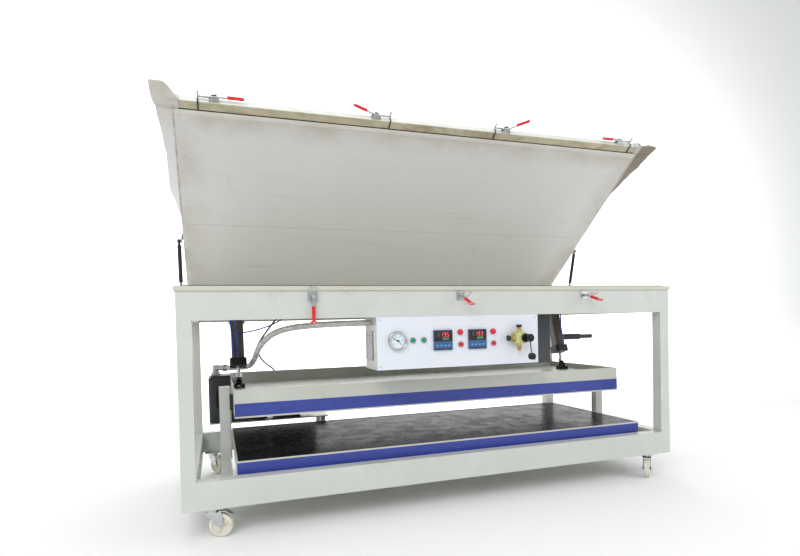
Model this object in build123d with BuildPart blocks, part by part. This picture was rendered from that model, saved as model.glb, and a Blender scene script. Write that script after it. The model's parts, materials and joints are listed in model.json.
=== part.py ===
"""Vacuum forming machine: a heated two-platen press below a vacuum table with a hinged membrane lid.

Millimetres, +Z up, front towards -Y. The origin is on the floor, under the middle of the machine.
The lid is modelled open and the upper heating platen raised.
"""
from build123d import *
from math import cos, hypot, radians, sin, tan
import os

# Frame
frame_width = 2580.0
frame_depth = 1200.0
frame_height = 925.0
front_y = -563.3
caster_height = 130.0
tube_size = 60.0
tube_wall = 4.0
beam_height = 120.0
top_beam_height = 125.0
bearer_size = 50.0
bearer_height = 60.0
bearer_rise = 39.0
bearer_xs = (-1104.0, -520.0, 38.0, 600.0, 1180.0)
crossbar_height = 50.0

# Vacuum table
table_thickness = 20.0
table_overhang = 8.0
seal_width = 30.0
seal_height = 5.0
seal_inset = 20.0
groove_width = 8.0
groove_depth = 5.0
groove_margin = 170.0
groove_columns = 9
groove_rows = 4
port_x = 500.0
port_radius = 14.0
manifold_radius = 24.0
manifold_wall = 3.0
manifold_drop = 75.0

# Lid
lid_open_angle = 39.0
hinge_setback = 45.0
hinge_rise = 25.0
lid_tube = 50.0
lid_tube_wall = 3.0
lid_reach = 1278.0
lid_rear_gap = 20.0
stiffener_size = 30.0
stiffener_xs = (-645.0, 0.0, 645.0)
membrane_thickness = 3.0
lid_gap = 0.3
wrap_height = 42.0
clamp_bar_size = 40.0
clamp_bar_wall = 3.0
clamp_bar_overhang = 20.0
ear_outline = (
    (1292.0, 600.0),
    (1300.0, 720.0),
    (1309.0, 900.0),
    (1316.0, 1010.0),
    (1334.0, 1120.0),
    (1352.0, 1250.0),
    (1378.0, 1350.0),
    (1390.0, 1402.0),
    (1360.0, 1398.0),
    (1330.0, 1350.0),
    (1316.0, 1330.0),
    (1313.0, 1281.0),
    (1292.0, 1281.0),
)
hinge_xs = (-1000.0, 0.0, 1000.0)
hinge_width = 90.0
hinge_pin_radius = 8.0
hinge_plate = 8.0

# Lid gas struts
strut_offset = 26.0
strut_foot_y = 1000.0
strut_foot_rise = 15.0
strut_lid_reach = 460.0
strut_body_radius = 11.0
strut_rod_radius = 5.0
strut_body_length = 212.0
strut_end_length = 24.0
strut_plate = 5.0
strut_eye = 20.0
strut_cap = 8.0
strut_wall = 1.5

# Lower platen
platen_length = 2200.0
platen_x = 38.0
platen_wall = 4.0
lower_front = 80.0
platen_rear = 930.0
lower_height = 75.0
plate_thickness = 10.0
plate_gap = 0.5
heater_height = 8.0
heater_width = 40.0
heater_count = 6

# Upper platen
upper_front = 250.0
daylight = 163.0
upper_height = 105.0
front_rim = 31.0
rear_rim = 60.0
platen_travel = 150.0

# Guide posts of the upper platen
post_width = 50.0
post_depth = 40.0
post_wall = 3.0
post_y = 490.0
post_clearance = 17.0
post_height = 366.0
rail_thickness = 6.0
rail_width = 30.0
guide_block_height = 80.0
guide_block_width = 64.0
guide_gap = 0.4

# Lift cylinders
lift_x = 1025.0
lift_top_y = 755.0
lift_top_drop = 70.0
lift_foot_y = 642.0
lift_foot_rise = 28.0
barrel_size = 66.0
barrel_bore = 28.5
barrel_length = 211.0
cap_size = 88.0
cap_length = 42.0
eye_length = 20.0
eye_radius = 16.0
eye_thickness = 16.0
lift_pin_radius = 8.0
rod_radius = 10.0
piston_length = 24.0
piston_start = 66.0
running_gap = 0.3
rod_nut_radius = 17.0
rod_nut_length = 26.0
foot_size = 60.0
foot_plate = 8.0
foot_pin_radius = 6.0
foot_bore = 9.5
nut_radius = 8.5
nut_height = 12.0
clevis_plate = 8.0
clevis_radius = 14.0
bracket_radius = 18.0
air_tube_radius = 4.0
tube_port_radius = 6.5
tube_port_height = 14.0
tube_port_shifts = {-lift_x: (-3.0, -25.0), lift_x: (-3.0,)}
silencer_distance = 212.0
silencer_radius = 20.0
silencer_length = 245.0

# Control box and what its panel carries, as places from the panel's left edge and the box's top
box_left = -431.0
box_width = 862.0
box_height = 248.0
box_depth = 200.0
box_wall = 2.0
panel_thickness = 3.0
gauge_place = (100.0, 113.0)
gauge_radius = 45.0
gauge_depth = 16.0
gauge_recess = 8.0
needle_pin = 1.5
needle_angle = 32.0
green_places = ((177.0, 113.0), (232.0, 113.0))
controller_places = ((330.0, 116.0), (514.0, 116.0))
controller_size = 96.0
controller_bezel = 10.0
controller_depth = 70.0
lamp_places = ((422.0, 80.0), (601.0, 81.0))
stop_places = ((425.0, 140.0), (604.0, 140.0))
button_bezel_radius = 15.0
button_cap_radius = 10.0
button_bezel_depth = 6.0
button_proud = 8.0
button_travel = 4.0
button_shank = 14.0
valve_place = (735.0, 117.0)
valve_lever_length = 92.0
knob_radius = 17.0

# Valve cabinet behind the control box
cabinet_left = 270.0
cabinet_width = 370.0
cabinet_depth = 195.0
cabinet_height = 290.0

# Vacuum pump
pump_left = -1186.0
pump_length = 330.0
pump_depth = 200.0
pump_height = 270.0
pump_y = 1040.0
pump_rise = 8.0
motor_radius = 82.0
motor_length = 300.0
shelf_height = 100.0
shelf_thickness = 6.0
shelf_width = 700.0
stub_length = 90.0
pipe_x = 150.0
drop_radius = 20.0
hose_radius = 15.5
cable_radius = 5.0

# Casters
caster_inset_x = 120.0
caster_inset_y = 50.0
caster_plate_thickness = 5.0
wheel_radius = 50.0
wheel_width = 30.0
caster_trail = 36.0
fork_wall = 3.0
axle_radius = 5.0
wheel_hub = 14.0
fork_top = 112.0
kingpin_radius = 6.0
caster_yaws = {"front_left": -15.0, "front_right": 227.0, "rear_left": -56.0, "rear_right": 60.0}

# Toggle latches and clamps
latch_xs = {"left": -722.0, "middle": 0.0, "right": 722.0}
latch_drop = 28.0
latch_stand = 16.0
latch_lifts = {"left": 0.0, "middle": 68.0, "right": 75.0}
latch_cross = 34.0
latch_bail_offset = 20.0
bail_half = 17.0
bail_length = 64.0
bail_radius = 2.0
bail_pin_radius = 2.3
bail_pin_proud = 3.0
lid_clamp_xs = (-1136.0, -320.0, 365.0, 1170.0)
lid_clamp_turns = (1, -1, 1, -1)
lid_clamp_lifts = (0.0, 18.0, 28.0, 0.0)
side_clamp_reach = 1000.0
clamp_plate = 3.0
clamp_inner = 8.0
clamp_pivot_x = 38.0
clamp_pivot_rise = 23.0
clamp_pin_radius = 2.5
clamp_hook_back = 46.0
hook_radius = 3.0
hook_bend = 6.3
side_hook_level = -30.0
front_hook_level = -38.0
hook_level = 11.4
handle_bar = 46.0
grip_radius = 7.5
grip_length = 72.0

# Levels and places worked out from the sizes above
left_x = -frame_width / 2
right_x = frame_width / 2
rear_y = front_y + frame_depth
frame_z = caster_height
frame_top = frame_z + frame_height
bottom_beam_top = frame_z + beam_height
top_beam_bottom = frame_top - top_beam_height
beam_ys = (front_y + tube_size / 2, rear_y - tube_size / 2)
side_xs = (left_x + tube_size / 2, right_x - tube_size / 2)
middle_y = front_y + frame_depth / 2
table_top = frame_top + table_thickness
bearer_z = frame_z + bearer_rise
bearer_top = bearer_z + bearer_height
hinge_y = rear_y + hinge_setback
hinge_z = table_top + hinge_rise
lower_z = bearer_top
lower_top = lower_z + lower_height
upper_z = lower_top + daylight
upper_floor = upper_z + upper_height

pieces = {}


def unit(dy, dz):
    """A direction of length one in the YZ plane."""
    length = hypot(dy, dz)
    return (0.0, dy / length, dz / length)


# Frame: long beams over the full width, posts and side rails between them
beam_zs = ((frame_z + beam_height / 2, beam_height), (frame_top - top_beam_height / 2, top_beam_height))
inner_depth = frame_depth - 2 * tube_size

with BuildPart() as long_beams:
    for y in beam_ys:
        for z, height in beam_zs:
            with BuildSketch(Plane.YZ.offset(left_x)):
                with Locations((y, z)):
                    Rectangle(tube_size, height)
            extrude(amount=frame_width)
            with BuildSketch(Plane.YZ.offset(left_x + tube_wall)):
                with Locations((y, z)):
                    Rectangle(tube_size - 2 * tube_wall, height - 2 * tube_wall)
            extrude(amount=frame_width - 2 * tube_wall, mode=Mode.SUBTRACT)
pieces["long_beams"] = long_beams

rail_sections = [(x, z, tube_size, height) for x in side_xs for z, height in beam_zs]
shelf_top = bearer_top + shelf_height + shelf_thickness
shelf_y = front_y + pump_y
crossbar_xs = (-lift_x, -lift_x / 3, lift_x / 3, lift_x)
rail_sections += [(x, frame_top - crossbar_height / 2, tube_size, crossbar_height) for x in crossbar_xs]
rail_sections += [(x, bearer_z + bearer_height / 2, bearer_size, bearer_height) for x in bearer_xs]
with BuildPart() as cross_rails:
    for x, z, width, height in rail_sections:
        with BuildSketch(Plane(origin=(0, front_y + tube_size, 0), x_dir=(1, 0, 0), z_dir=(0, -1, 0))):
            with Locations((x, z)):
                Rectangle(width, height)
                Rectangle(width - 2 * tube_wall, height - 2 * tube_wall, mode=Mode.SUBTRACT)
        extrude(amount=-inner_depth)
    with BuildSketch(Plane.XY.offset(shelf_top - shelf_thickness)):
        with Locations((pump_left + shelf_width / 2, shelf_y)):
            Rectangle(shelf_width, pump_depth - 4)
    extrude(amount=shelf_thickness)
    with BuildSketch(Plane.XY.offset(bearer_top)):
        with Locations(*[(x, shelf_y + side * 80) for x in bearer_xs[:2] for side in (-1, 1)]):
            Rectangle(30, 30)
    extrude(amount=shelf_height)
pieces["cross_rails"] = cross_rails

# Vacuum table with its air grooves, suction ports, edge seal and the pipe below
table_width = frame_width + 2 * table_overhang
table_depth = frame_depth + 2 * table_overhang
groove_length = frame_width - 2 * groove_margin
groove_reach = frame_depth - 2 * groove_margin
with BuildPart() as vacuum_table:
    with BuildSketch(Plane.XY.offset(frame_top)):
        with Locations((0, middle_y)):
            Rectangle(table_width, table_depth)
    extrude(amount=table_thickness)
    fillet(vacuum_table.edges().filter_by(Axis.Z), radius=4)
    with BuildSketch(Plane.XY.offset(table_top)):
        with Locations((0, middle_y)):
            with GridLocations(0, groove_reach / (groove_rows - 1), 1, groove_rows):
                Rectangle(groove_length, groove_width)
            with GridLocations(groove_length / (groove_columns - 1), 0, groove_columns, 1):
                Rectangle(groove_width, groove_reach)
    extrude(amount=-groove_depth, mode=Mode.SUBTRACT)
    with BuildSketch(Plane.XY.offset(frame_top)):
        with Locations((-port_x, middle_y), (port_x, middle_y)):
            Circle(port_radius)
    extrude(amount=table_thickness, mode=Mode.SUBTRACT)
pieces["vacuum_table"] = vacuum_table

with BuildPart() as table_seal:
    with BuildSketch(Plane.XY.offset(table_top)):
        with Locations((0, middle_y)):
            Rectangle(frame_width - 2 * seal_inset, frame_depth - 2 * seal_inset)
            Rectangle(
                frame_width - 2 * (seal_inset + seal_width),
                frame_depth - 2 * (seal_inset + seal_width),
                mode=Mode.SUBTRACT,
            )
    extrude(amount=seal_height)
pieces["table_seal"] = table_seal

# Platens: a sheet-metal box and a heating plate backed by strip heaters
def heating_plate(front, base, heater_base):
    """The plate that touches the sheet, with its strip heaters on the hidden side."""
    depth = platen_rear - front
    inset = 2 * (platen_wall + plate_gap)
    pitch = (depth - 2 * platen_wall) / heater_count
    with BuildPart() as plate:
        with BuildSketch(Plane.XY.offset(base)):
            with Locations((platen_x, front_y + front + depth / 2)):
                Rectangle(platen_length - inset, depth - inset)
        extrude(amount=plate_thickness)
        with BuildSketch(Plane.XY.offset(heater_base)):
            with Locations((platen_x, front_y + front + depth / 2)):
                with GridLocations(0, pitch, 1, heater_count):
                    Rectangle(platen_length - 120, heater_width)
        extrude(amount=heater_height)
    return plate


lower_depth = platen_rear - lower_front
lower_middle = front_y + lower_front + lower_depth / 2
with BuildPart() as lower_platen_housing:
    with BuildSketch(Plane.XY.offset(lower_z)):
        with Locations((platen_x, lower_middle)):
            Rectangle(platen_length, lower_depth)
    extrude(amount=lower_height)
    with BuildSketch(Plane.XY.offset(lower_z + platen_wall)):
        with Locations((platen_x, lower_middle)):
            Rectangle(platen_length - 2 * platen_wall, lower_depth - 2 * platen_wall)
    extrude(amount=lower_height - platen_wall, mode=Mode.SUBTRACT)
pieces["lower_platen_housing"] = lower_platen_housing
lower_plate_z = lower_top - 2 - plate_thickness
lower_heater_z = lower_plate_z - plate_gap - heater_height
pieces["lower_heating_plate"] = heating_plate(lower_front, lower_plate_z, lower_heater_z)

upper_depth = platen_rear - upper_front
upper_middle = front_y + upper_front + upper_depth / 2
with BuildPart() as upper_platen_housing:
    with BuildSketch(Plane.XY.offset(upper_z)):
        with Locations((platen_x, upper_middle)):
            Rectangle(platen_length, upper_depth)
    extrude(amount=upper_height + front_rim)
    with BuildSketch(Plane.XY.offset(upper_z)):
        with Locations((platen_x, upper_middle)):
            Rectangle(platen_length - 2 * platen_wall, upper_depth - 2 * platen_wall)
    extrude(amount=upper_height - platen_wall, mode=Mode.SUBTRACT)
    with BuildSketch(Plane.XY.offset(upper_floor)):
        with Locations((platen_x, upper_middle)):
            Rectangle(platen_length - 2 * platen_wall, upper_depth - 2 * platen_wall)
    extrude(amount=front_rim, mode=Mode.SUBTRACT)
    with BuildSketch(Plane.XY.offset(upper_floor + front_rim)):
        with Locations((platen_x, front_y + platen_rear - platen_wall / 2)):
            Rectangle(platen_length, platen_wall)
    extrude(amount=rear_rim - front_rim)
pieces["upper_platen_housing"] = upper_platen_housing
upper_plate_z = upper_z + 2
upper_heater_z = upper_plate_z + plate_thickness + plate_gap
pieces["upper_heating_plate"] = heating_plate(upper_front, upper_plate_z, upper_heater_z)

# Uprights: the corner posts, and the guide posts whose rails the raised platen runs on
post_x = platen_length / 2 + post_clearance + post_width / 2
rail_x = post_x - post_width / 2 - rail_thickness / 2
with BuildPart() as uprights:
    with BuildSketch(Plane.XY.offset(bottom_beam_top)):
        with Locations(*[(x, y) for x in side_xs for y in beam_ys]):
            Rectangle(tube_size, tube_size)
            Rectangle(tube_size - 2 * tube_wall, tube_size - 2 * tube_wall, mode=Mode.SUBTRACT)
    extrude(amount=top_beam_bottom - bottom_beam_top)
    for side in (-1, 1):
        with BuildSketch(Plane.XY.offset(bearer_top)):
            with Locations((platen_x + side * post_x, front_y + post_y)):
                Rectangle(post_width, post_depth)
                Rectangle(post_width - 2 * post_wall, post_depth - 2 * post_wall, mode=Mode.SUBTRACT)
            with Locations((platen_x + side * rail_x, front_y + post_y)):
                Rectangle(rail_thickness, rail_width)
        extrude(amount=post_height)
        with BuildSketch(Plane.XY.offset(bearer_top + post_height)):
            with Locations((platen_x + side * post_x, front_y + post_y)):
                Rectangle(post_width, post_depth)
        extrude(amount=post_wall)
pieces["uprights"] = uprights

# Fittings of the raised platen: rail blocks at its ends and the clevis feet of the lift cylinders
lift_top = (front_y + lift_top_y, frame_top - lift_top_drop)
lift_foot = (front_y + lift_foot_y, upper_floor + lift_foot_rise)
lift_length = hypot(lift_foot[0] - lift_top[0], lift_foot[1] - lift_top[1])
lift_direction = unit(lift_foot[0] - lift_top[0], lift_foot[1] - lift_top[1])
ear_gap = eye_thickness / 2 + running_gap
block_outer = post_x - post_width / 2 - guide_gap
block_inner = platen_length / 2
slot_inner = rail_x - rail_thickness / 2 - guide_gap
block_z = upper_z + (upper_height - guide_block_height) / 2
with BuildPart() as platen_fittings:
    for side in (-1, 1):
        with BuildSketch(Plane.XY.offset(block_z)):
            with Locations((platen_x + side * (block_inner + block_outer) / 2, front_y + post_y)):
                Rectangle(block_outer - block_inner, guide_block_width)
            with Locations((platen_x + side * (slot_inner + block_outer) / 2, front_y + post_y)):
                Rectangle(block_outer - slot_inner, rail_width + 2 * guide_gap, mode=Mode.SUBTRACT)
        extrude(amount=guide_block_height)
    for x in (-lift_x, lift_x):
        with BuildSketch(Plane.XY.offset(upper_floor)):
            with Locations((x, lift_foot[0])):
                RectangleRounded(foot_size, foot_size, 6)
        extrude(amount=foot_plate)
        with BuildSketch(Plane.XY.offset(upper_floor + foot_plate)):
            with Locations((x, lift_foot[0])):
                with GridLocations(foot_size - 2 * nut_radius, foot_size - 2 * nut_radius, 2, 2):
                    RegularPolygon(nut_radius, 6)
        extrude(amount=nut_height)
        for side in (-1, 1):
            with BuildSketch(Plane.YZ.offset(x + side * (ear_gap + clevis_plate / 2) - clevis_plate / 2)):
                with Locations(lift_foot):
                    Circle(clevis_radius)
                with Locations((lift_foot[0], (lift_foot[1] + upper_floor) / 2)):
                    Rectangle(2 * clevis_radius, lift_foot_rise)
            extrude(amount=clevis_plate)
        with BuildSketch(Plane.YZ.offset(x - ear_gap - clevis_plate)):
            with Locations(lift_foot):
                Circle(foot_pin_radius)
        extrude(amount=2 * (ear_gap + clevis_plate))
pieces["platen_fittings"] = platen_fittings

# Lift cylinders: they lean back, hang from the table bars and push the platen down
barrel_start = eye_length + cap_length
bottom_cap_start = barrel_start + barrel_length
foot_eye_start = lift_length - eye_length


def lift_point(x, distance, forward=0.0):
    """A point a distance down a lift cylinder from its top pin, and forward of its axis."""
    y = lift_top[0] + distance * lift_direction[1] + forward * lift_direction[2]
    z = lift_top[1] + distance * lift_direction[2] - forward * lift_direction[1]
    return (x, y, z)


def lift_plane(x, distance):
    """The plane across a lift cylinder's axis, a distance below its top pin."""
    return Plane(origin=lift_point(x, distance), x_dir=(1, 0, 0), z_dir=lift_direction)


with BuildPart() as lift_barrels:
    for x in (-lift_x, lift_x):
        with BuildSketch(lift_plane(x, barrel_start)):
            RectangleRounded(barrel_size, barrel_size, 8)
            with PolarLocations(barrel_size / 2, 4):
                with Locations((0, -12), (0, 12)):
                    Rectangle(8, 5, mode=Mode.SUBTRACT)
            Circle(barrel_bore, mode=Mode.SUBTRACT)
        extrude(amount=barrel_length)
        with BuildSketch(lift_plane(x, eye_length)):
            RectangleRounded(cap_size, cap_size, 12)
        extrude(amount=cap_length)
        with BuildSketch(lift_plane(x, lift_pin_radius + running_gap + 2)):
            Rectangle(eye_thickness, 2 * eye_radius)
        extrude(amount=eye_length - lift_pin_radius - running_gap - 2)
        with BuildSketch(Plane.YZ.offset(x - eye_thickness / 2)):
            with Locations(lift_top):
                Circle(eye_radius)
                Circle(lift_pin_radius + running_gap, mode=Mode.SUBTRACT)
        extrude(amount=eye_thickness)
        with BuildSketch(lift_plane(x, bottom_cap_start)):
            RectangleRounded(cap_size, cap_size, 12)
            Circle(rod_radius + running_gap, mode=Mode.SUBTRACT)
        extrude(amount=cap_length)
        for port_shift in tube_port_shifts[x]:
            port = lift_point(x + port_shift, bottom_cap_start, barrel_size / 2 + tube_port_radius)
            with BuildSketch(Plane.XY.offset(port[2] - tube_port_height)):
                with Locations((port[0], port[1])):
                    Circle(tube_port_radius)
            extrude(amount=tube_port_height + 6)
    silencer = lift_point(lift_x + barrel_size / 2 - 2, silencer_distance)
    with BuildSketch(Plane(origin=silencer, x_dir=(0, 1, 0), z_dir=(1, 0, 0))):
        Circle(silencer_radius)
    extrude(amount=silencer_length * 0.6)
    with BuildSketch(Plane(origin=silencer, x_dir=(0, 1, 0), z_dir=(1, 0, 0))):
        Circle(silencer_radius * 0.7)
    extrude(amount=silencer_length)
pieces["lift_barrels"] = lift_barrels

with BuildPart() as lift_rods:
    for x in (-lift_x, lift_x):
        with BuildSketch(lift_plane(x, piston_start)):
            Circle(barrel_bore - running_gap)
        extrude(amount=piston_length)
        with BuildSketch(lift_plane(x, piston_start)):
            Circle(rod_radius)
        extrude(amount=foot_eye_start - piston_start)
        with BuildSketch(lift_plane(x, foot_eye_start - rod_nut_length)):
            RegularPolygon(rod_nut_radius, 6)
        extrude(amount=rod_nut_length)
        with BuildSketch(lift_plane(x, foot_eye_start)):
            Rectangle(eye_thickness, 2 * eye_radius - 4)
        extrude(amount=eye_length - foot_bore)
        with BuildSketch(Plane.YZ.offset(x - eye_thickness / 2)):
            with Locations(lift_foot):
                Circle(eye_radius)
                Circle(foot_bore, mode=Mode.SUBTRACT)
        extrude(amount=eye_thickness)
pieces["lift_rods"] = lift_rods

# Air tubes: they ride on the lift cylinders, whose swing is small up where the tubes end
tube_routes = []
for x, shift in ((-lift_x, -3.0), (-lift_x, -25.0), (lift_x, -3.0)):
    port = lift_point(x + shift, bottom_cap_start, barrel_size / 2 + tube_port_radius)
    top = frame_top - crossbar_height
    bend_y = port[1] - 12
    tube_routes.append(
        [
            (x + shift - 12, bend_y, top),
            (x + shift - 12, bend_y, top - 90),
            (port[0], port[1], port[2] + 78),
            (port[0], port[1], port[2] + 6),
        ]
    )
tee = tube_routes[0][1]
tube_routes.append(
    [
        (tee[0] + 8, tee[1] + 6, tee[2] - 50),
        (tee[0] + 78, tee[1] + 6, tee[2] - 46),
        (tee[0] + 178, tee[1] + 10, tee[2] - 16),
        (tee[0] + 238, tee[1] + 15, tee[2] + 10),
        (tee[0] + 308, tee[1] + 20, tee[2] + 60),
        (tee[0] + 308, tee[1] + 20, frame_top),
    ]
)


def corner_radii(route):
    """The bend radius at each inner point: as large as the shorter run beside it allows."""
    radii = []
    for before, corner, after in zip(route, route[1:], route[2:]):
        entering = Vector(*corner) - Vector(*before)
        leaving = Vector(*after) - Vector(*corner)
        half_turn = radians(entering.get_angle(leaving)) / 2
        radii.append(0.45 * min(entering.length, leaving.length) / tan(half_turn))
    return radii


with BuildPart() as air_tubes:
    for route in tube_routes:
        with BuildLine() as tube_line:
            FilletPolyline(*route, radius=corner_radii(route))
        with BuildSketch(Plane(origin=tube_line.line @ 0, z_dir=tube_line.line % 0)):
            Circle(air_tube_radius)
        sweep(path=tube_line.line)
pieces["air_tubes"] = air_tubes

# Frame brackets: cylinder clevises, lid hinge ears with their pins, and the strut feet
with BuildPart() as frame_brackets:
    for x in (-lift_x, lift_x):
        for side in (-1, 1):
            with BuildSketch(Plane.YZ.offset(x + side * (ear_gap + clevis_plate / 2) - clevis_plate / 2)):
                with Locations(lift_top):
                    Circle(bracket_radius)
                ear_top = frame_top - crossbar_height
                with Locations((lift_top[0], (lift_top[1] + ear_top) / 2)):
                    Rectangle(2 * bracket_radius, ear_top - lift_top[1])
            extrude(amount=clevis_plate)
        with BuildSketch(Plane.YZ.offset(x - ear_gap - clevis_plate)):
            with Locations(lift_top):
                Circle(lift_pin_radius)
        extrude(amount=2 * (ear_gap + clevis_plate))
    ear_profile = [
        (rear_y, frame_top - 95),
        (rear_y, frame_top - 2),
        (rear_y + table_overhang + 2, frame_top - 2),
        (rear_y + table_overhang + 2, table_top - 5),
        (hinge_y - 2 * hinge_pin_radius, table_top + 2),
        (hinge_y - 2 * hinge_pin_radius, hinge_z),
        (hinge_y + 2 * hinge_pin_radius, hinge_z),
        (hinge_y + 2 * hinge_pin_radius, hinge_z - 15),
        (rear_y + 20, frame_top - 95),
    ]
    for x in hinge_xs:
        with BuildSketch(Plane.XZ.offset(-rear_y)):
            with Locations((x, frame_top - 50)):
                Rectangle(hinge_width, 90)
        extrude(amount=-hinge_plate)
        for side in (-1, 1):
            with BuildSketch(Plane.YZ.offset(x + side * (hinge_width - hinge_plate) / 2 - hinge_plate / 2)):
                with BuildLine():
                    Polyline(*ear_profile, close=True)
                make_face()
                with Locations((hinge_y, hinge_z)):
                    Circle(2 * hinge_pin_radius)
            extrude(amount=hinge_plate)
        with BuildSketch(Plane.YZ.offset(x - hinge_width / 2 - 4)):
            with Locations((hinge_y, hinge_z)):
                Circle(hinge_pin_radius)
        extrude(amount=hinge_width + 8)
    strut_foot = (front_y + strut_foot_y, top_beam_bottom + strut_foot_rise)
    for side in (-1, 1):
        rail_side = Plane(origin=(side * frame_width / 2, *strut_foot), x_dir=(0, 1, 0), z_dir=(side, 0, 0))
        with BuildSketch(rail_side):
            with Locations((0, side * 12)):
                Rectangle(44, 50)
        extrude(amount=strut_plate)
        with BuildSketch(rail_side):
            Circle(strut_rod_radius)
        extrude(amount=strut_offset + strut_eye / 2 + 1)
pieces["frame_brackets"] = frame_brackets

# Lid: everything on it is drawn about the hinge line, turned open
lid_back = (0.0, cos(radians(lid_open_angle)), -sin(radians(lid_open_angle)))
lid_up = (0.0, sin(radians(lid_open_angle)), cos(radians(lid_open_angle)))
membrane_base = table_top + seal_height + lid_gap - hinge_z
lid_base = membrane_base + membrane_thickness
lid_top_face = lid_base + lid_tube
clamp_bar_back = -lid_reach - membrane_thickness
clamp_bar_front = clamp_bar_back - clamp_bar_size


def lid_point(x, reach, height):
    """A point on the lid: reach towards the hinge line's back, height above it when closed."""
    y = hinge_y + reach * lid_back[1] + height * lid_up[1]
    z = hinge_z + reach * lid_back[2] + height * lid_up[2]
    return (x, y, z)


def lid_level(height, x=0.0, reach=0.0):
    """The plane parallel to the lid at a height; its axes run to the right and to the back."""
    return Plane(origin=lid_point(x, reach, height), x_dir=(1, 0, 0), z_dir=lid_up)


def lid_section(x, reach=0.0, height=0.0):
    """The plane across the lid at x; its axes run to the back and up."""
    return Plane(origin=lid_point(x, reach, height), x_dir=lid_back, z_dir=(1, 0, 0))


rear_tube_middle = -lid_rear_gap - lid_tube / 2
front_tube_middle = -lid_reach + lid_tube / 2
side_tube_length = front_tube_middle + lid_tube / 2 - rear_tube_middle + lid_tube / 2
side_tube_middle = (front_tube_middle + rear_tube_middle) / 2
with BuildPart() as lid_frame:
    for reach in (rear_tube_middle, front_tube_middle):
        with BuildSketch(lid_section(left_x, reach, lid_base + lid_tube / 2)):
            Rectangle(lid_tube, lid_tube)
        extrude(amount=frame_width)
        with BuildSketch(lid_section(left_x + lid_tube_wall, reach, lid_base + lid_tube / 2)):
            Rectangle(lid_tube - 2 * lid_tube_wall, lid_tube - 2 * lid_tube_wall)
        extrude(amount=frame_width - 2 * lid_tube_wall, mode=Mode.SUBTRACT)
    lid_bars = [(side * (frame_width - lid_tube) / 2, lid_tube) for side in (-1, 1)]
    lid_bars += [(x, stiffener_size) for x in stiffener_xs]
    for x, size in lid_bars:
        bar_front = lid_point(x, front_tube_middle + lid_tube / 2, lid_base + size / 2)
        with BuildSketch(Plane(origin=bar_front, x_dir=(-1, 0, 0), z_dir=lid_back)):
            Rectangle(size, size)
            Rectangle(size - 2 * lid_tube_wall, size - 2 * lid_tube_wall, mode=Mode.SUBTRACT)
        extrude(amount=-side_tube_length)
    knuckle_half = hinge_width / 2 - hinge_plate - running_gap
    for x in hinge_xs:
        with BuildSketch(lid_section(x - knuckle_half)):
            with Locations((-lid_rear_gap / 2, 0)):
                Rectangle(lid_rear_gap, 22)
            Circle(13)
            Circle(hinge_pin_radius + running_gap, mode=Mode.SUBTRACT)
        extrude(amount=2 * knuckle_half)
    for side in (-1, 1):
        bracket_outer = side * (frame_width / 2 + strut_offset - strut_body_radius - running_gap)
        with BuildSketch(lid_section(bracket_outer - side * strut_plate, -strut_lid_reach)):
            with Locations((0, lid_top_face / 2 - 6)):
                Rectangle(44, lid_top_face + 12)
        extrude(amount=side * strut_plate)
        flange_width = strut_offset - strut_eye / 2 + 24
        flange_x = bracket_outer - side * flange_width / 2
        with BuildSketch(lid_level(lid_top_face, flange_x, -strut_lid_reach)):
            Rectangle(flange_width, 44)
        extrude(amount=strut_plate)
pieces["lid_frame"] = lid_frame

# Membrane: a sheet under the lid, folded up at the edges, with its loose corners standing out
membrane_half = frame_width / 2 + membrane_thickness
with BuildPart() as membrane:
    with BuildSketch(lid_level(membrane_base)):
        with Locations((0, (clamp_bar_back - lid_rear_gap) / 2)):
            Rectangle(2 * membrane_half, -clamp_bar_back - lid_rear_gap)
    extrude(amount=membrane_thickness)
    with BuildSketch(lid_level(membrane_base)):
        with Locations((0, clamp_bar_back + membrane_thickness / 2)):
            Rectangle(2 * membrane_half, membrane_thickness)
    extrude(amount=wrap_height)
    for side in (-1, 1):
        with BuildSketch(lid_level(membrane_base)):
            with Locations((side * (membrane_half - membrane_thickness / 2), side_tube_middle)):
                Rectangle(membrane_thickness, side_tube_length + 2 * lid_tube)
        extrude(amount=wrap_height)
        with BuildSketch(lid_level(membrane_base)):
            with BuildLine():
                Polyline(*[(side * x, -reach) for x, reach in ear_outline], close=True)
            make_face()
        extrude(amount=membrane_thickness)
pieces["membrane"] = membrane

bar_length = frame_width + 2 * clamp_bar_overhang
bar_middle = (clamp_bar_back + clamp_bar_front) / 2
with BuildPart() as clamp_bar:
    with BuildSketch(lid_section(-bar_length / 2, bar_middle, membrane_base + clamp_bar_size / 2)):
        RectangleRounded(clamp_bar_size, clamp_bar_size, 3)
    extrude(amount=bar_length)
    with BuildSketch(lid_section(-bar_length / 2 + clamp_bar_wall, bar_middle, membrane_base + clamp_bar_size / 2)):
        Rectangle(clamp_bar_size - 2 * clamp_bar_wall, clamp_bar_size - 2 * clamp_bar_wall)
    extrude(amount=bar_length - 2 * clamp_bar_wall, mode=Mode.SUBTRACT)
pieces["clamp_bar"] = clamp_bar

# Lid clamps: a riveted body, a jaw bar and a rod that hooks round the bar it stands on
def clamp_plane(origin, forward, outward):
    """The plane standing along a clamp: its axes run towards the handle and away from the lid."""
    return Plane(origin=origin, x_dir=forward, z_dir=Vector(*forward).cross(Vector(*outward)))


def lifted_plane(frame, angle):
    """The plane of a clamp's handle, lifted by an angle about the clamp's pivot."""
    pivot = frame.from_local_coords((clamp_pivot_x, clamp_pivot_rise, 0))
    along = frame.x_dir * cos(radians(angle)) + frame.y_dir * sin(radians(angle))
    return Plane(origin=pivot, x_dir=along, z_dir=frame.z_dir)


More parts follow.
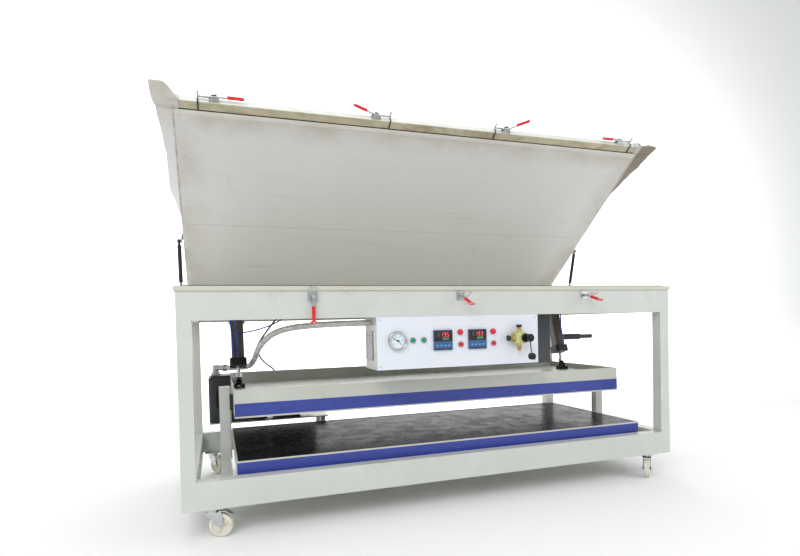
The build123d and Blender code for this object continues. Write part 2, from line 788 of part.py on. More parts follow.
lid_front = (0.0, -lid_back[1], -lid_back[2])
clamp_frames = []
for x, turn in zip(lid_clamp_xs, lid_clamp_turns):
    on_bar = lid_point(x, clamp_bar_front, membrane_base + clamp_bar_size / 2)
    clamp_frames.append(clamp_plane(on_bar, (turn, 0, 0), lid_front))
for side in (-1, 1):
    on_tube = lid_point(side * (frame_width - lid_tube) / 2, -side_clamp_reach, lid_top_face)
    clamp_frames.append(clamp_plane(on_tube, lid_back, lid_up))
hook_sides = [-turn for turn in lid_clamp_turns] + [-1, 1]

with BuildPart() as lid_clamp_bases:
    for frame in clamp_frames:
        with BuildSketch(frame.offset(-15)):
            with Locations((24, 2.5)):
                Rectangle(48, 5)
        extrude(amount=30)
        for plate_offset in (-clamp_inner - clamp_plate, clamp_inner):
            with BuildSketch(frame.offset(plate_offset)):
                with BuildLine():
                    Polyline((2, 0), (48, 0), (44, 20), (40, clamp_pivot_rise + 7), (14, 26), (2, 10), close=True)
                make_face()
            extrude(amount=clamp_plate)
        with BuildSketch(frame.offset(-clamp_inner - clamp_plate)):
            with Locations((clamp_pivot_x, clamp_pivot_rise)):
                Circle(clamp_pin_radius)
        extrude(amount=2 * (clamp_inner + clamp_plate))
        with BuildSketch(frame.offset(-5)):
            with Locations((-12, 18)):
                Rectangle(76, 8)
            with Locations((18, 8)):
                Rectangle(10, 16)
        extrude(amount=10)
        spindle = Plane(origin=frame.from_local_coords((-clamp_hook_back, 4, 0)), z_dir=frame.y_dir)
        with BuildSketch(spindle):
            RegularPolygon(5, 6)
        extrude(amount=40)
    for frame, side in zip(clamp_frames, hook_sides):
        is_front = abs(frame.x_dir.X) > 0.5
        wrapped = clamp_bar_size / 2 if is_front else lid_tube / 2 + membrane_thickness
        hook_out = wrapped + hook_radius + running_gap
        hook_end = front_hook_level if is_front else side_hook_level
        points = [(0, hook_level), (hook_out, hook_level), (hook_out, hook_end)]
        out_dir = Vector(*lid_up) * -1 if is_front else Vector(side, 0, 0)
        rod_origin = frame.from_local_coords((-clamp_hook_back, 0, 0))
        rod_plane = Plane(origin=rod_origin, x_dir=out_dir, z_dir=out_dir.cross(frame.y_dir))
        with BuildLine(rod_plane) as hook:
            FilletPolyline(*points, radius=hook_bend)
        with BuildSketch(Plane(origin=hook.line @ 0, z_dir=hook.line % 0)):
            Circle(hook_radius)
        sweep(path=hook.line)
pieces["lid_clamp_bases"] = lid_clamp_bases


def toggle_handle(plane, cross_length):
    """A clamp handle from its pivot along the plane's x axis; the pivot pin lies along z."""
    grip = Plane(origin=plane.from_local_coords((handle_bar, 0, 0)), x_dir=plane.z_dir, z_dir=plane.x_dir)
    with BuildPart() as handle:
        with BuildSketch(plane.offset(-clamp_inner + 1)):
            Circle(6)
            with Locations((handle_bar / 2 + 4, 0)):
                Rectangle(handle_bar, 8)
            Circle(clamp_pin_radius + running_gap, mode=Mode.SUBTRACT)
            if cross_length:
                with Locations((latch_bail_offset, 0)):
                    Circle(bail_pin_radius + running_gap, mode=Mode.SUBTRACT)
        extrude(amount=2 * clamp_inner - 2)
        with BuildSketch(grip):
            Circle(grip_radius)
        extrude(amount=grip_length)
        with BuildSketch(grip.offset(grip_length)):
            Circle(grip_radius)
        extrude(amount=3, taper=45)
        if cross_length:
            with BuildSketch(grip.offset(grip_length - 4)):
                SlotOverall(cross_length, 2 * grip_radius - 3)
            extrude(amount=7)
    return handle


for number, (frame, angle) in enumerate(zip(clamp_frames[:4], lid_clamp_lifts)):
    pieces[f"lid_clamp_handle_{number + 1}"] = toggle_handle(lifted_plane(frame, angle), 0)
for name, frame in zip(("left", "right"), clamp_frames[4:]):
    pieces[f"side_clamp_handle_{name}"] = toggle_handle(lifted_plane(frame, 0), 0)

# Gas struts: the rod stands on the frame and slides in the body that lifts the lid
strut_top = lid_point(0, -strut_lid_reach, 0)
strut_up = unit(strut_top[1] - strut_foot[0], strut_top[2] - strut_foot[1])
strut_length = hypot(strut_top[1] - strut_foot[0], strut_top[2] - strut_foot[1])
body_start = strut_length - strut_end_length - strut_body_length
strut_x = frame_width / 2 + strut_offset


def strut_plane(x, distance):
    """The plane across a strut, a distance from its foot pin."""
    y = strut_foot[0] + distance * strut_up[1]
    z = strut_foot[1] + distance * strut_up[2]
    return Plane(origin=(x, y, z), x_dir=(1, 0, 0), z_dir=strut_up)


with BuildPart() as strut_rods:
    for x in (-strut_x, strut_x):
        with BuildSketch(Plane.YZ.offset(x - strut_eye / 2)):
            with Locations(strut_foot):
                Circle(10)
                Circle(strut_rod_radius + running_gap, mode=Mode.SUBTRACT)
        extrude(amount=strut_eye)
        with BuildSketch(strut_plane(x, 8)):
            Circle(8)
        extrude(amount=strut_end_length - 8)
        with BuildSketch(strut_plane(x, strut_end_length)):
            Circle(strut_rod_radius)
        extrude(amount=body_start + strut_cap + 1 - strut_end_length)
        with BuildSketch(strut_plane(x, body_start + strut_cap + 1)):
            Circle(strut_body_radius - strut_wall - running_gap)
        extrude(amount=5)
pieces["strut_rods"] = strut_rods

with BuildPart() as strut_bodies:
    for x in (-strut_x, strut_x):
        with BuildSketch(strut_plane(x, body_start)):
            Circle(strut_body_radius)
        extrude(amount=strut_body_length)
        with BuildSketch(strut_plane(x, body_start + strut_cap)):
            Circle(strut_body_radius - strut_wall)
        extrude(amount=strut_body_length - strut_cap - 3, mode=Mode.SUBTRACT)
        with BuildSketch(strut_plane(x, body_start)):
            Circle(strut_rod_radius + running_gap)
        extrude(amount=strut_cap, mode=Mode.SUBTRACT)
        with BuildSketch(strut_plane(x, body_start + strut_body_length)):
            Circle(7)
        extrude(amount=strut_end_length - 4)
        with BuildSketch(Plane.YZ.offset(x - strut_eye / 2)):
            with Locations((strut_top[1], strut_top[2])):
                Circle(10)
        extrude(amount=strut_eye)
pieces["strut_bodies"] = strut_bodies

# Front latches: base with two ears, a handle on the ears' pin and a bail on the handle
latch_z = frame_top - latch_drop
latch_pin = (front_y - latch_stand, latch_z)
with BuildPart() as latch_bases:
    for x in latch_xs.values():
        with BuildSketch(Plane.XZ.offset(-front_y)):
            with Locations((x, latch_z)):
                Rectangle(44, 40)
                with GridLocations(32, 28, 2, 2):
                    Circle(2.5, mode=Mode.SUBTRACT)
        extrude(amount=4)
        for plate_offset in (-clamp_inner - clamp_plate, clamp_inner):
            with BuildSketch(Plane.YZ.offset(x + plate_offset)):
                with Locations((front_y - (latch_stand + 2) / 2 - 1, latch_z)):
                    Rectangle(latch_stand, 14)
                with Locations(latch_pin):
                    Circle(7)
            extrude(amount=clamp_plate)
        with BuildSketch(Plane.YZ.offset(x - clamp_inner - clamp_plate)):
            with Locations(latch_pin):
                Circle(clamp_pin_radius)
        extrude(amount=2 * (clamp_inner + clamp_plate))
pieces["latch_bases"] = latch_bases

for name, x in latch_xs.items():
    lifted = radians(latch_lifts[name])
    along = (0, -sin(lifted), -cos(lifted))
    pin_plane = Plane(origin=(x, *latch_pin), x_dir=along, z_dir=(1, 0, 0))
    pieces[f"latch_handle_{name}"] = toggle_handle(pin_plane, latch_cross)
    bail_pivot = pin_plane.from_local_coords((latch_bail_offset, 0, 0))
    bail_up = (0, -sin(lifted), cos(lifted))
    bail_plane = Plane(origin=bail_pivot, x_dir=(1, 0, 0), z_dir=Vector(1, 0, 0).cross(Vector(*bail_up)))
    bail_points = [
        (bail_half, 0),
        (bail_half, bail_length),
        (-bail_half, bail_length),
        (-bail_half, 0),
    ]
    with BuildPart() as bail:
        with BuildLine(bail_plane) as bail_line:
            FilletPolyline(*bail_points, radius=6)
        with BuildSketch(Plane(origin=bail_line.line @ 0, z_dir=bail_line.line % 0)):
            Circle(bail_radius)
        sweep(path=bail_line.line)
        with BuildSketch(Plane.YZ.offset(x - bail_half - bail_pin_proud)):
            with Locations((bail_pivot.Y, bail_pivot.Z)):
                Circle(bail_pin_radius)
        extrude(amount=2 * (bail_half + bail_pin_proud))
    pieces[f"latch_bail_{name}"] = bail

# Control box: a folded box hung under the front beam, closed by the panel
box_top = top_beam_bottom
box_middle_x = box_left + box_width / 2
panel_face = front_y - panel_thickness


def panel_spot(place):
    """Where a panel item sits, given from the panel's left edge and the box's top."""
    return (box_left + place[0], box_top - place[1])


def panel_plane(depth):
    """A plane behind the panel's face by a depth; negative depths stand in front of it."""
    return Plane(origin=(0, panel_face + depth, 0), x_dir=(1, 0, 0), z_dir=(0, -1, 0))


with BuildPart() as control_box:
    with BuildSketch(Plane.XZ.offset(-front_y)):
        with Locations((box_middle_x, box_top - box_height / 2)):
            Rectangle(box_width, box_height)
    extrude(amount=-box_depth)
    with BuildSketch(Plane.XZ.offset(-front_y)):
        with Locations((box_middle_x, box_top - box_height / 2)):
            Rectangle(box_width - 2 * box_wall, box_height - 2 * box_wall)
    extrude(amount=-box_depth + box_wall, mode=Mode.SUBTRACT)
pieces["control_box"] = control_box

button_places = dict(zip(("green_1", "green_2", "red_1", "red_2"), green_places + stop_places))
with BuildPart() as control_panel:
    with BuildSketch(panel_plane(0)):
        with Locations((box_middle_x, box_top - box_height / 2)):
            Rectangle(box_width - 1, box_height - 1)
        with Locations(*[panel_spot(place) for place in button_places.values()]):
            Circle(button_cap_radius + running_gap, mode=Mode.SUBTRACT)
        with Locations(*[panel_spot(place) for place in controller_places]):
            Rectangle(controller_size - 4, controller_size - 4, mode=Mode.SUBTRACT)
    extrude(amount=-panel_thickness)
    with BuildSketch(panel_plane(0)):
        with Locations((box_middle_x, box_top - box_height / 2)):
            with GridLocations(box_width - 34, box_height - 30, 2, 2):
                Circle(4)
    extrude(amount=2)
pieces["control_panel"] = control_panel

with BuildPart() as panel_fittings:
    with BuildSketch(panel_plane(0)):
        with Locations(panel_spot(gauge_place)):
            Circle(gauge_radius)
    extrude(amount=gauge_depth)
    with BuildSketch(panel_plane(-gauge_depth)):
        with Locations(panel_spot(gauge_place)):
            Circle(gauge_radius - 7)
    extrude(amount=-gauge_recess, mode=Mode.SUBTRACT)
    with BuildSketch(panel_plane(gauge_recess - gauge_depth)):
        with Locations(panel_spot(gauge_place)):
            Circle(needle_pin)
    extrude(amount=4)
    with BuildSketch(panel_plane(0)):
        with Locations(*[panel_spot(place) for place in button_places.values()]):
            Circle(button_bezel_radius)
            Circle(button_cap_radius + running_gap, mode=Mode.SUBTRACT)
        with Locations(*[panel_spot(place) for place in lamp_places]):
            Circle(button_bezel_radius)
    extrude(amount=button_bezel_depth)
    with BuildSketch(panel_plane(-button_bezel_depth)):
        with Locations(*[panel_spot(place) for place in lamp_places]):
            Circle(button_bezel_radius - 1)
    extrude(amount=9, taper=18)
pieces["panel_fittings"] = panel_fittings

with BuildPart() as gauge_needle:
    needle_plane = Plane(
        origin=(panel_spot(gauge_place)[0], panel_face - gauge_depth + gauge_recess - 1.5, panel_spot(gauge_place)[1]),
        x_dir=(-cos(radians(needle_angle)), 0, sin(radians(needle_angle))),
        z_dir=(0, -1, 0),
    )
    with BuildSketch(needle_plane):
        with Locations((9, 0)):
            Rectangle(46, 2.4)
        Circle(4)
        Circle(needle_pin + running_gap, mode=Mode.SUBTRACT)
    extrude(amount=1.2)
pieces["gauge_needle"] = gauge_needle

for name, place in button_places.items():
    with BuildPart() as button:
        with BuildSketch(panel_plane(button_shank)):
            with Locations(panel_spot(place)):
                Circle(button_cap_radius)
        extrude(amount=button_shank + button_bezel_depth + button_proud)
        with BuildSketch(panel_plane(button_shank)):
            with Locations(panel_spot(place)):
                Circle(button_cap_radius + 2)
        extrude(amount=4)
        front_edges = button.faces().sort_by(Axis.Y)[0].edges()
        fillet(front_edges, radius=2.5)
    pieces[f"button_{name}"] = button

with BuildPart() as temperature_controllers:
    with BuildSketch(panel_plane(0)):
        with Locations(*[panel_spot(place) for place in controller_places]):
            Rectangle(controller_size, controller_size)
    extrude(amount=controller_bezel)
    with BuildSketch(panel_plane(0)):
        with Locations(*[panel_spot(place) for place in controller_places]):
            Rectangle(controller_size - 5, controller_size - 5)
    extrude(amount=-controller_depth)
    with BuildSketch(panel_plane(-controller_bezel)):
        with Locations(*[panel_spot(place) for place in controller_places]):
            with Locations((0, 18)):
                Rectangle(controller_size - 10, 46)
    extrude(amount=-2, mode=Mode.SUBTRACT)
    with BuildSketch(panel_plane(-controller_bezel)):
        with Locations(*[panel_spot(place) for place in controller_places]):
            with Locations((0, -26)):
                with GridLocations(20, 0, 4, 1):
                    RectangleRounded(14, 9, 2)
    extrude(amount=1.2)
pieces["temperature_controllers"] = temperature_controllers

# Hand valve: a flanged body on the panel, brass stub pipes, and a lever on its hub
valve_x, valve_z = panel_spot(valve_place)
hub_x = valve_x + 30
with BuildPart() as hand_valve:
    with BuildSketch(panel_plane(0)):
        with Locations((valve_x, valve_z)):
            RectangleRounded(62, 62, 12)
    extrude(amount=16)
    with BuildSketch(panel_plane(-16)):
        with Locations((valve_x, valve_z)):
            Circle(26)
            with PolarLocations(31, 4, start_angle=45):
                Circle(7)
    extrude(amount=26)
    with BuildSketch(panel_plane(-42)):
        with Locations((valve_x, valve_z)):
            RectangleRounded(56, 56, 12)
    extrude(amount=12)
    with BuildSketch(panel_plane(-54)):
        with Locations((hub_x - 10, valve_z)):
            Circle(22)
    extrude(amount=10)
    for angle, length in ((90, 62), (180, 62), (270, 64)):
        stub_dir = (cos(radians(angle)), 0, sin(radians(angle)))
        stub = Plane(origin=(valve_x, panel_face - 29, valve_z), x_dir=(0, 1, 0), z_dir=stub_dir)
        with BuildSketch(stub):
            Circle(9)
        extrude(amount=length)
        with BuildSketch(stub.offset(32)):
            RegularPolygon(12.5, 6)
        extrude(amount=11)
        if angle != 270:
            with BuildSketch(stub.offset(length - 8)):
                Circle(14)
            extrude(amount=12)
    with BuildSketch(panel_plane(-64)):
        with Locations((hub_x, valve_z)):
            Circle(5)
    extrude(amount=26)
pieces["hand_valve"] = hand_valve

with BuildPart() as valve_lever:
    with BuildSketch(panel_plane(-64 - running_gap)):
        with Locations((hub_x, valve_z)):
            Circle(20)
            Circle(5 + running_gap, mode=Mode.SUBTRACT)
    extrude(amount=24)
    knob = (hub_x + 12, valve_z - valve_lever_length)
    lever_start = Plane(origin=(hub_x, panel_face - 78, valve_z))
    lever_dir = Vector(knob[0] - hub_x, 0, knob[1] - valve_z)
    with BuildSketch(Plane(origin=lever_start.origin + lever_dir * 0.18, x_dir=(0, 1, 0), z_dir=lever_dir)):
        Circle(2.5)
    extrude(amount=lever_dir.length * 0.82)
    with BuildSketch(Plane(origin=(knob[0], panel_face - 78 + knob_radius, knob[1]), x_dir=(1, 0, 0), z_dir=(0, -1, 0))):
        Circle(knob_radius)
    extrude(amount=2 * knob_radius)
    fillet(valve_lever.edges().filter_by(GeomType.CIRCLE).sort_by(Axis.Z)[:2], radius=9)
pieces["valve_lever"] = valve_lever

with BuildPart() as valve_cabinet:
    with BuildSketch(Plane.XZ.offset(-front_y - box_depth)):
        with Locations((cabinet_left + cabinet_width / 2, top_beam_bottom + 20 - cabinet_height / 2)):
            RectangleRounded(cabinet_width, cabinet_height, 4)
    extrude(amount=-cabinet_depth)
pieces["valve_cabinet"] = valve_cabinet

# Vacuum pump and its motor on the shelf behind the lower platen
pump_x = pump_left + pump_length / 2
pump_base = shelf_top + pump_rise
with BuildPart() as vacuum_pump:
    with BuildSketch(Plane.XY.offset(pump_base)):
        with Locations((pump_x, shelf_y)):
            RectangleRounded(pump_length, pump_depth - 10, 18)
    extrude(amount=pump_height - 12)
    with BuildSketch(Plane.XY.offset(pump_base + pump_height - 12)):
        with Locations((pump_x, shelf_y)):
            RectangleRounded(pump_length - 24, pump_depth - 34, 12)
    extrude(amount=12)
    with BuildSketch(Plane.XZ.offset(-(shelf_y - (pump_depth - 10) / 2))):
        with Locations((pump_x, pump_base + pump_height / 2)):
            with GridLocations(96, 0, 3, 1):
                SlotOverall(130, 58, rotation=90)
    extrude(amount=-22, mode=Mode.SUBTRACT)
    with BuildSketch(Plane.XY.offset(shelf_top)):
        with Locations((pump_x, shelf_y)):
            with GridLocations(pump_length - 60, pump_depth - 50, 2, 2):
                Circle(16)
    extrude(amount=pump_rise)
pieces["vacuum_pump"] = vacuum_pump

motor_start = pump_left + pump_length
motor_z = shelf_top + motor_radius + 22
with BuildPart() as pump_motor:
    with BuildSketch(Plane.YZ.offset(motor_start)):
        with Locations((shelf_y, motor_z)):
            Circle(motor_radius)
            with PolarLocations(motor_radius, 24):
                Rectangle(18, 4)
    extrude(amount=motor_length - 60)
    with BuildSketch(Plane.YZ.offset(motor_start + motor_length - 60)):
        with Locations((shelf_y, motor_z)):
            Circle(motor_radius + 6)
    extrude(amount=60, taper=8)
    with BuildSketch(Plane.XY.offset(shelf_top)):
        with Locations((motor_start + motor_length / 2 - 30, shelf_y)):
            Rectangle(160, 150)
    extrude(amount=10)
    with BuildSketch(Plane.XY.offset(shelf_top)):
        with Locations((motor_start + motor_length / 2 - 30, shelf_y)):
            Rectangle(130, 70)
    extrude(amount=60)
    with BuildSketch(Plane.XY.offset(motor_z + motor_radius - 10)):
        with Locations((motor_start + 110, shelf_y)):
            RectangleRounded(110, 90, 8)
    extrude(amount=48)
pieces["pump_motor"] = pump_motor

# Vacuum pipes: manifold under the table, its drop into the box's back, and the pump's elbow
manifold_z = frame_top - manifold_drop
drop_y = front_y + box_depth + 50
elbow = (pump_left + 43, shelf_y, pump_base + pump_height + 44)
with BuildPart() as vacuum_pipes:
    with BuildSketch(Plane.YZ.offset(-port_x - manifold_radius)):
        with Locations((middle_y, manifold_z)):
            Circle(manifold_radius)
    extrude(amount=2 * (port_x + manifold_radius))
    with BuildSketch(Plane.XY.offset(manifold_z)):
        with Locations((-port_x, middle_y), (port_x, middle_y)):
            Circle(port_radius + manifold_wall)
    extrude(amount=manifold_drop)
    with BuildSketch(Plane.XZ.offset(-drop_y)):
        with Locations((pipe_x, manifold_z)):
            Circle(port_radius + manifold_wall)
    extrude(amount=drop_y - middle_y)
    with BuildSketch(Plane.XY.offset(manifold_z + drop_radius)):
        with Locations((pipe_x, drop_y)):
            Circle(drop_radius)
    extrude(amount=-(manifold_z - box_top) - drop_radius - 50)
    with BuildSketch(Plane.XZ.offset(-front_y - box_depth)):
        with Locations((pipe_x, box_top - 50 + port_radius + manifold_wall)):
            Circle(port_radius + manifold_wall)
    extrude(amount=-50)
    with BuildSketch(Plane.XY.offset(pump_base + pump_height)):
        with Locations((elbow[0], elbow[1])):
            Circle(hose_radius + 3)
    extrude(amount=44 + hose_radius)
    with BuildSketch(Plane.XY.offset(pump_base + pump_height)):
        with Locations((elbow[0], elbow[1])):
            RegularPolygon(hose_radius + 9, 6)
    extrude(amount=18)
    stub_plane = Plane(origin=elbow, z_dir=(1, -1, 0))
    with BuildSketch(stub_plane):
        Circle(hose_radius + 1)
    extrude(amount=stub_length)
    with BuildSketch(stub_plane.offset(stub_length - 22)):
        Circle(hose_radius + 5)
    extrude(amount=14)
    with BuildSketch(Plane.YZ.offset(-port_x)):
        with Locations((middle_y, manifold_z)):
            Circle(manifold_radius - manifold_wall)
    extrude(amount=2 * port_x, mode=Mode.SUBTRACT)
    with BuildSketch(Plane.XY.offset(manifold_z)):
        with Locations((-port_x, middle_y), (port_x, middle_y)):
            Circle(port_radius)
    extrude(amount=manifold_drop, mode=Mode.SUBTRACT)
pieces["vacuum_pipes"] = vacuum_pipes

# Vacuum hose from the elbow to the control box, and the motor's power cable
hose_start = (stub_plane.offset(stub_length)).origin
hose_route = [
    (hose_start.X, hose_start.Y, hose_start.Z),
    (hose_start.X + 113, hose_start.Y - 113, hose_start.Z),
    (-938.0, front_y + 650, 720.0),
    (-928.0, front_y + 470, 800.0),
    (-850.0, front_y + 290, 885.0),
    (-640.0, front_y + 100, 905.0),
    (box_left, front_y + 100, 905.0),
]
with BuildPart() as vacuum_hose:
    with BuildLine() as hose_line:
        FilletPolyline(*hose_route, radius=corner_radii(hose_route))
    with BuildSketch(Plane(origin=hose_line.line @ 0, z_dir=hose_line.line % 0)):
        Circle(hose_radius)
    sweep(path=hose_line.line)
pieces["vacuum_hose"] = vacuum_hose

motor_box_top = motor_z + motor_radius + 38
cable_route = [
    (-830.0, front_y + tube_size, 965.0),
    (-830.0, front_y + 150, 965.0),
    (-840.0, front_y + 270, 955.0),
    (-853.0, front_y + 390, 925.0),
    (-878.0, front_y + 500, 882.0),
    (-912.0, front_y + 600, 822.0),
    (-925.0, front_y + 700, 782.0),
    (-910.0, front_y + 800, 747.0),
    (-885.0, front_y + 895, 702.0),
    (-845.0, front_y + 978, 664.0),
    (-790.0, front_y + 1040, motor_box_top + 63),
    (-790.0, front_y + 1040, motor_box_top),
]
with BuildPart() as power_cable:
    with BuildLine() as cable_line:
        FilletPolyline(*cable_route, radius=corner_radii(cable_route))
    with BuildSketch(Plane(origin=cable_line.line @ 0, z_dir=cable_line.line % 0)):
        Circle(cable_radius)
    sweep(path=cable_line.line)
pieces["power_cable"] = power_cable

# Casters: top plates, swivelling forks, wheels, and the brake pedal of the front left one
caster_xs = {"left": left_x + caster_inset_x, "right": right_x - caster_inset_x}
caster_ys = {"front": front_y + caster_inset_y, "rear": rear_y - caster_inset_y}
with BuildPart() as caster_plates:
    with BuildSketch(Plane.XY.offset(frame_z - caster_plate_thickness)):
        with Locations(*[(x, y) for x in caster_xs.values() for y in caster_ys.values()]):
            RectangleRounded(100, 84, 6)
            with GridLocations(80, 60, 2, 2):
                Circle(4.5, mode=Mode.SUBTRACT)
    extrude(amount=caster_plate_thickness)
    with BuildSketch(Plane.XY.offset(fork_top)):
        with Locations(*[(x, y) for x in caster_xs.values() for y in caster_ys.values()]):
            Circle(28)
    extrude(amount=frame_z - caster_plate_thickness - fork_top)
    with BuildSketch(Plane.XY.offset(fork_top - 10)):
        with Locations(*[(x, y) for x in caster_xs.values() for y in caster_ys.values()]):
            Circle(kingpin_radius)
    extrude(amount=10)
pieces["caster_plates"] = caster_plates

fork_outline = [
    (-25, fork_top - 4),
    (28, fork_top - 4),
    (30, fork_top + 2),
    (40, fork_top + 2),
    (44, fork_top - 12),
    (caster_trail + 13, wheel_radius),
    (caster_trail, wheel_radius - 13),
    (caster_trail - 13, wheel_radius),
    (-25, fork_top - 14),
]
pedal_pin = (35.0, fork_top - 5)
fork_inner = wheel_width / 2 + 2
for name, yaw in caster_yaws.items():
    row, column = name.split("_")
    trail_dir = (cos(radians(yaw)), sin(radians(yaw)), 0)
    axle_dir = (sin(radians(yaw)), -cos(radians(yaw)), 0)
    pivot = (caster_xs[column], caster_ys[row], 0)
    side_plane = Plane(origin=pivot, x_dir=trail_dir, z_dir=axle_dir)
    with BuildPart() as fork:
        for plate_offset in (-fork_inner - fork_wall, fork_inner):
            with BuildSketch(side_plane.offset(plate_offset)):
                with BuildLine():
                    Polyline(*fork_outline, close=True)
                make_face()
            extrude(amount=fork_wall)
        with BuildSketch(side_plane.offset(-fork_inner)):
            with Locations((1.5, fork_top - 6)):
                Rectangle(53, 4)
        extrude(amount=2 * fork_inner)
        with BuildSketch(Plane(origin=(pivot[0], pivot[1], fork_top - running_gap), z_dir=(0, 0, -1))):
            Circle(24)
        extrude(amount=7)
        with BuildSketch(Plane(origin=(pivot[0], pivot[1], fork_top - running_gap), z_dir=(0, 0, -1))):
            Circle(kingpin_radius + running_gap)
        extrude(amount=9.7, mode=Mode.SUBTRACT)
        with BuildSketch(side_plane.offset(-fork_inner - fork_wall - 3)):
            with Locations((caster_trail, wheel_radius)):
                Circle(axle_radius)
        extrude(amount=2 * (fork_inner + fork_wall + 3))
        if name == "front_left":
            with BuildSketch(side_plane.offset(-fork_inner)):
                with Locations(pedal_pin):
                    Circle(clamp_pin_radius)
            extrude(amount=2 * fork_inner)
    pieces[f"caster_fork_{name}"] = fork
    with BuildPart() as wheel:
        with BuildSketch(side_plane.offset(-wheel_width / 2)):
            with Locations((caster_trail, wheel_radius)):
                Circle(wheel_radius)
                Circle(axle_radius + running_gap, mode=Mode.SUBTRACT)
        extrude(amount=wheel_width)
        fillet(wheel.edges().filter_by(GeomType.CIRCLE).sort_by(SortBy.RADIUS)[-2:], radius=5)
        for face_offset, inward in ((wheel_width / 2, -1), (-wheel_width / 2, 1)):
            with BuildSketch(side_plane.offset(face_offset)):
                with Locations((caster_trail, wheel_radius)):
                    Circle(wheel_radius - 14)
                    Circle(wheel_hub, mode=Mode.SUBTRACT)
            extrude(amount=inward * 6, mode=Mode.SUBTRACT)
    pieces[f"caster_wheel_{name}"] = wheel
    if name == "front_left":
        with BuildPart() as brake_pedal:
            with BuildSketch(side_plane.offset(-fork_inner + 1)):
                with Locations(pedal_pin):
                    Circle(5)
                with BuildLine():
                    Polyline(
                        (pedal_pin[0], fork_top - 2),
                        (pedal_pin[0], fork_top + 2),
                        (60, fork_top - 1),
                        (86, fork_top - 18),
                        (84, fork_top - 21),
                        (59, fork_top - 5),
                        close=True,
                    )
                make_face()
                with Locations(pedal_pin):
                    Circle(clamp_pin_radius + running_gap, mode=Mode.SUBTRACT)
            extrude(amount=2 * fork_inner - 2)
        pieces["brake_pedal"] = brake_pedal

os.makedirs("parts", exist_ok=True)
for name, piece in pieces.items():
    piece.part.label = name
    export_step(piece.part, f"parts/{name}.step")
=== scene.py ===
import json
from math import cos, pi, radians, sin

import bmesh
import bpy
from mathutils import Matrix, Vector, noise


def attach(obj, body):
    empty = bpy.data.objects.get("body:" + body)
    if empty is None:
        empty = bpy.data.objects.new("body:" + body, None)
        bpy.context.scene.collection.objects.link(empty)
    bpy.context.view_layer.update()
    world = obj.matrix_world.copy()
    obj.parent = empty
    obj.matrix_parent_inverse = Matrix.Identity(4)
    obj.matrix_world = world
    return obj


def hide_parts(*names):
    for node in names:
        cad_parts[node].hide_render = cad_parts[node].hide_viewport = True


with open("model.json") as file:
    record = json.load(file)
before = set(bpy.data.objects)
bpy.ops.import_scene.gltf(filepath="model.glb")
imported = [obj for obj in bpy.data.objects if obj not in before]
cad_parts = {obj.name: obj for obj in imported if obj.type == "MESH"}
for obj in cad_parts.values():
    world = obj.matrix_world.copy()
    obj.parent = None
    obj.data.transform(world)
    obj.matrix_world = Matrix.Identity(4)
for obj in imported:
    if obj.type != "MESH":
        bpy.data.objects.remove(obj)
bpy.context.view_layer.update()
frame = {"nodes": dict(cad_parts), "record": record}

RIGHT = Vector((1.0, 0.0, 0.0))
OUT = (0, -1, 0)
UP = (0, 0, 1)
ORIGIN = (0, 0, 0)

# Places of the CAD model, in metres: the frame and the table
FRONT = -0.5633
BACK = FRONT + 1.2
FRAME_TOP = 1.055
TABLE_TOP = 1.075

# The control box, and what its panel holds: distances from the box's left side and down from its top
BOX_TOP = 0.930
BOX_LEFT = -0.431
PANEL = FRONT - 0.003
CONTROLLER_DROP = 0.116
CONTROLLER_FACE = PANEL - 0.010
CONTROLLERS = ((0.330, "195", "200"), (0.514, "193", "200"))
LAMPS = ((0.422, 0.080), (0.601, 0.081))
PANEL_MIDDLE = (0.431, 0.124)
SCREWS_APART = (0.414, 0.109)
GAUGE = Vector((BOX_LEFT + 0.100, PANEL, BOX_TOP - 0.113))
VALVE = Vector((BOX_LEFT + 0.735, 0.0, BOX_TOP - 0.117))
VALVE_MIDDLE = Vector((VALVE.x, PANEL - 0.029, VALVE.z))
VALVE_STUB = 0.0535

# The platens, and the levels of the blue bands on them
PLATEN_X = 0.038
LOWER_FRONT = FRONT + 0.080
LOWER_BAND = (0.236, 0.2975)
UPPER_FRONT = FRONT + 0.250
UPPER_BACK = FRONT + 0.930
UPPER_BAND = (0.4755, 0.537)
TRAY_LEVEL = 0.572

# The air cylinders' axis, from the beam to the raised platen
LIFT_TOP = Vector((0.0, FRONT + 0.755, FRAME_TOP - 0.070))
LIFT_FOOT = Vector((0.0, FRONT + 0.642, 0.467 + 0.105 + 0.028))

# The lid at its rest angle, and the clamp bar in the lid's own measures
HINGE = Vector((0.0, BACK + 0.045, TABLE_TOP + 0.025))
LID_ANGLE = radians(39)
LID_BACK = Vector((0.0, cos(LID_ANGLE), -sin(LID_ANGLE)))
LID_UP = Vector((0.0, sin(LID_ANGLE), cos(LID_ANGLE)))
LID_TOP = 0.0333
BAR_BACK = 1.281
BAR_FRONT = 1.321
BAR_LOW = -0.0197

# Clamps on the clamp bar: place along it, the side the handle points to, and how far it is lifted
LID_CLAMPS = ((-1.136, 1, 0), (-0.320, -1, 18), (0.365, 1, 28), (1.170, -1, 0))
SIDE_CLAMPS = (("left", -1.265), ("right", 1.265))
SIDE_CLAMP_REACH = 1.0
CLAMP_PIVOT = 0.038
CLAMP_RISE = 0.023

# Latches on the front beam: place along it, and how far the handle is lifted
LATCHES = (("left", -0.722, 0), ("middle", 0.0, 68), ("right", 0.722, 75))
LATCH_PIVOT = (FRONT - 0.016, FRAME_TOP - 0.028)

# The membrane in the lid's own measures: reach from the hinge, half width and level
MEMBRANE_BACK = 0.02
MEMBRANE_FRONT = 1.2795
MEMBRANE_HALF = 1.2915
MEMBRANE_LEVEL = -0.0182
MEMBRANE_THICKNESS = 0.0026
WRAP_LEVEL = BAR_LOW - MEMBRANE_THICKNESS
BEAD_BACK = 1.2465
BEAD_EDGE = 1.2768


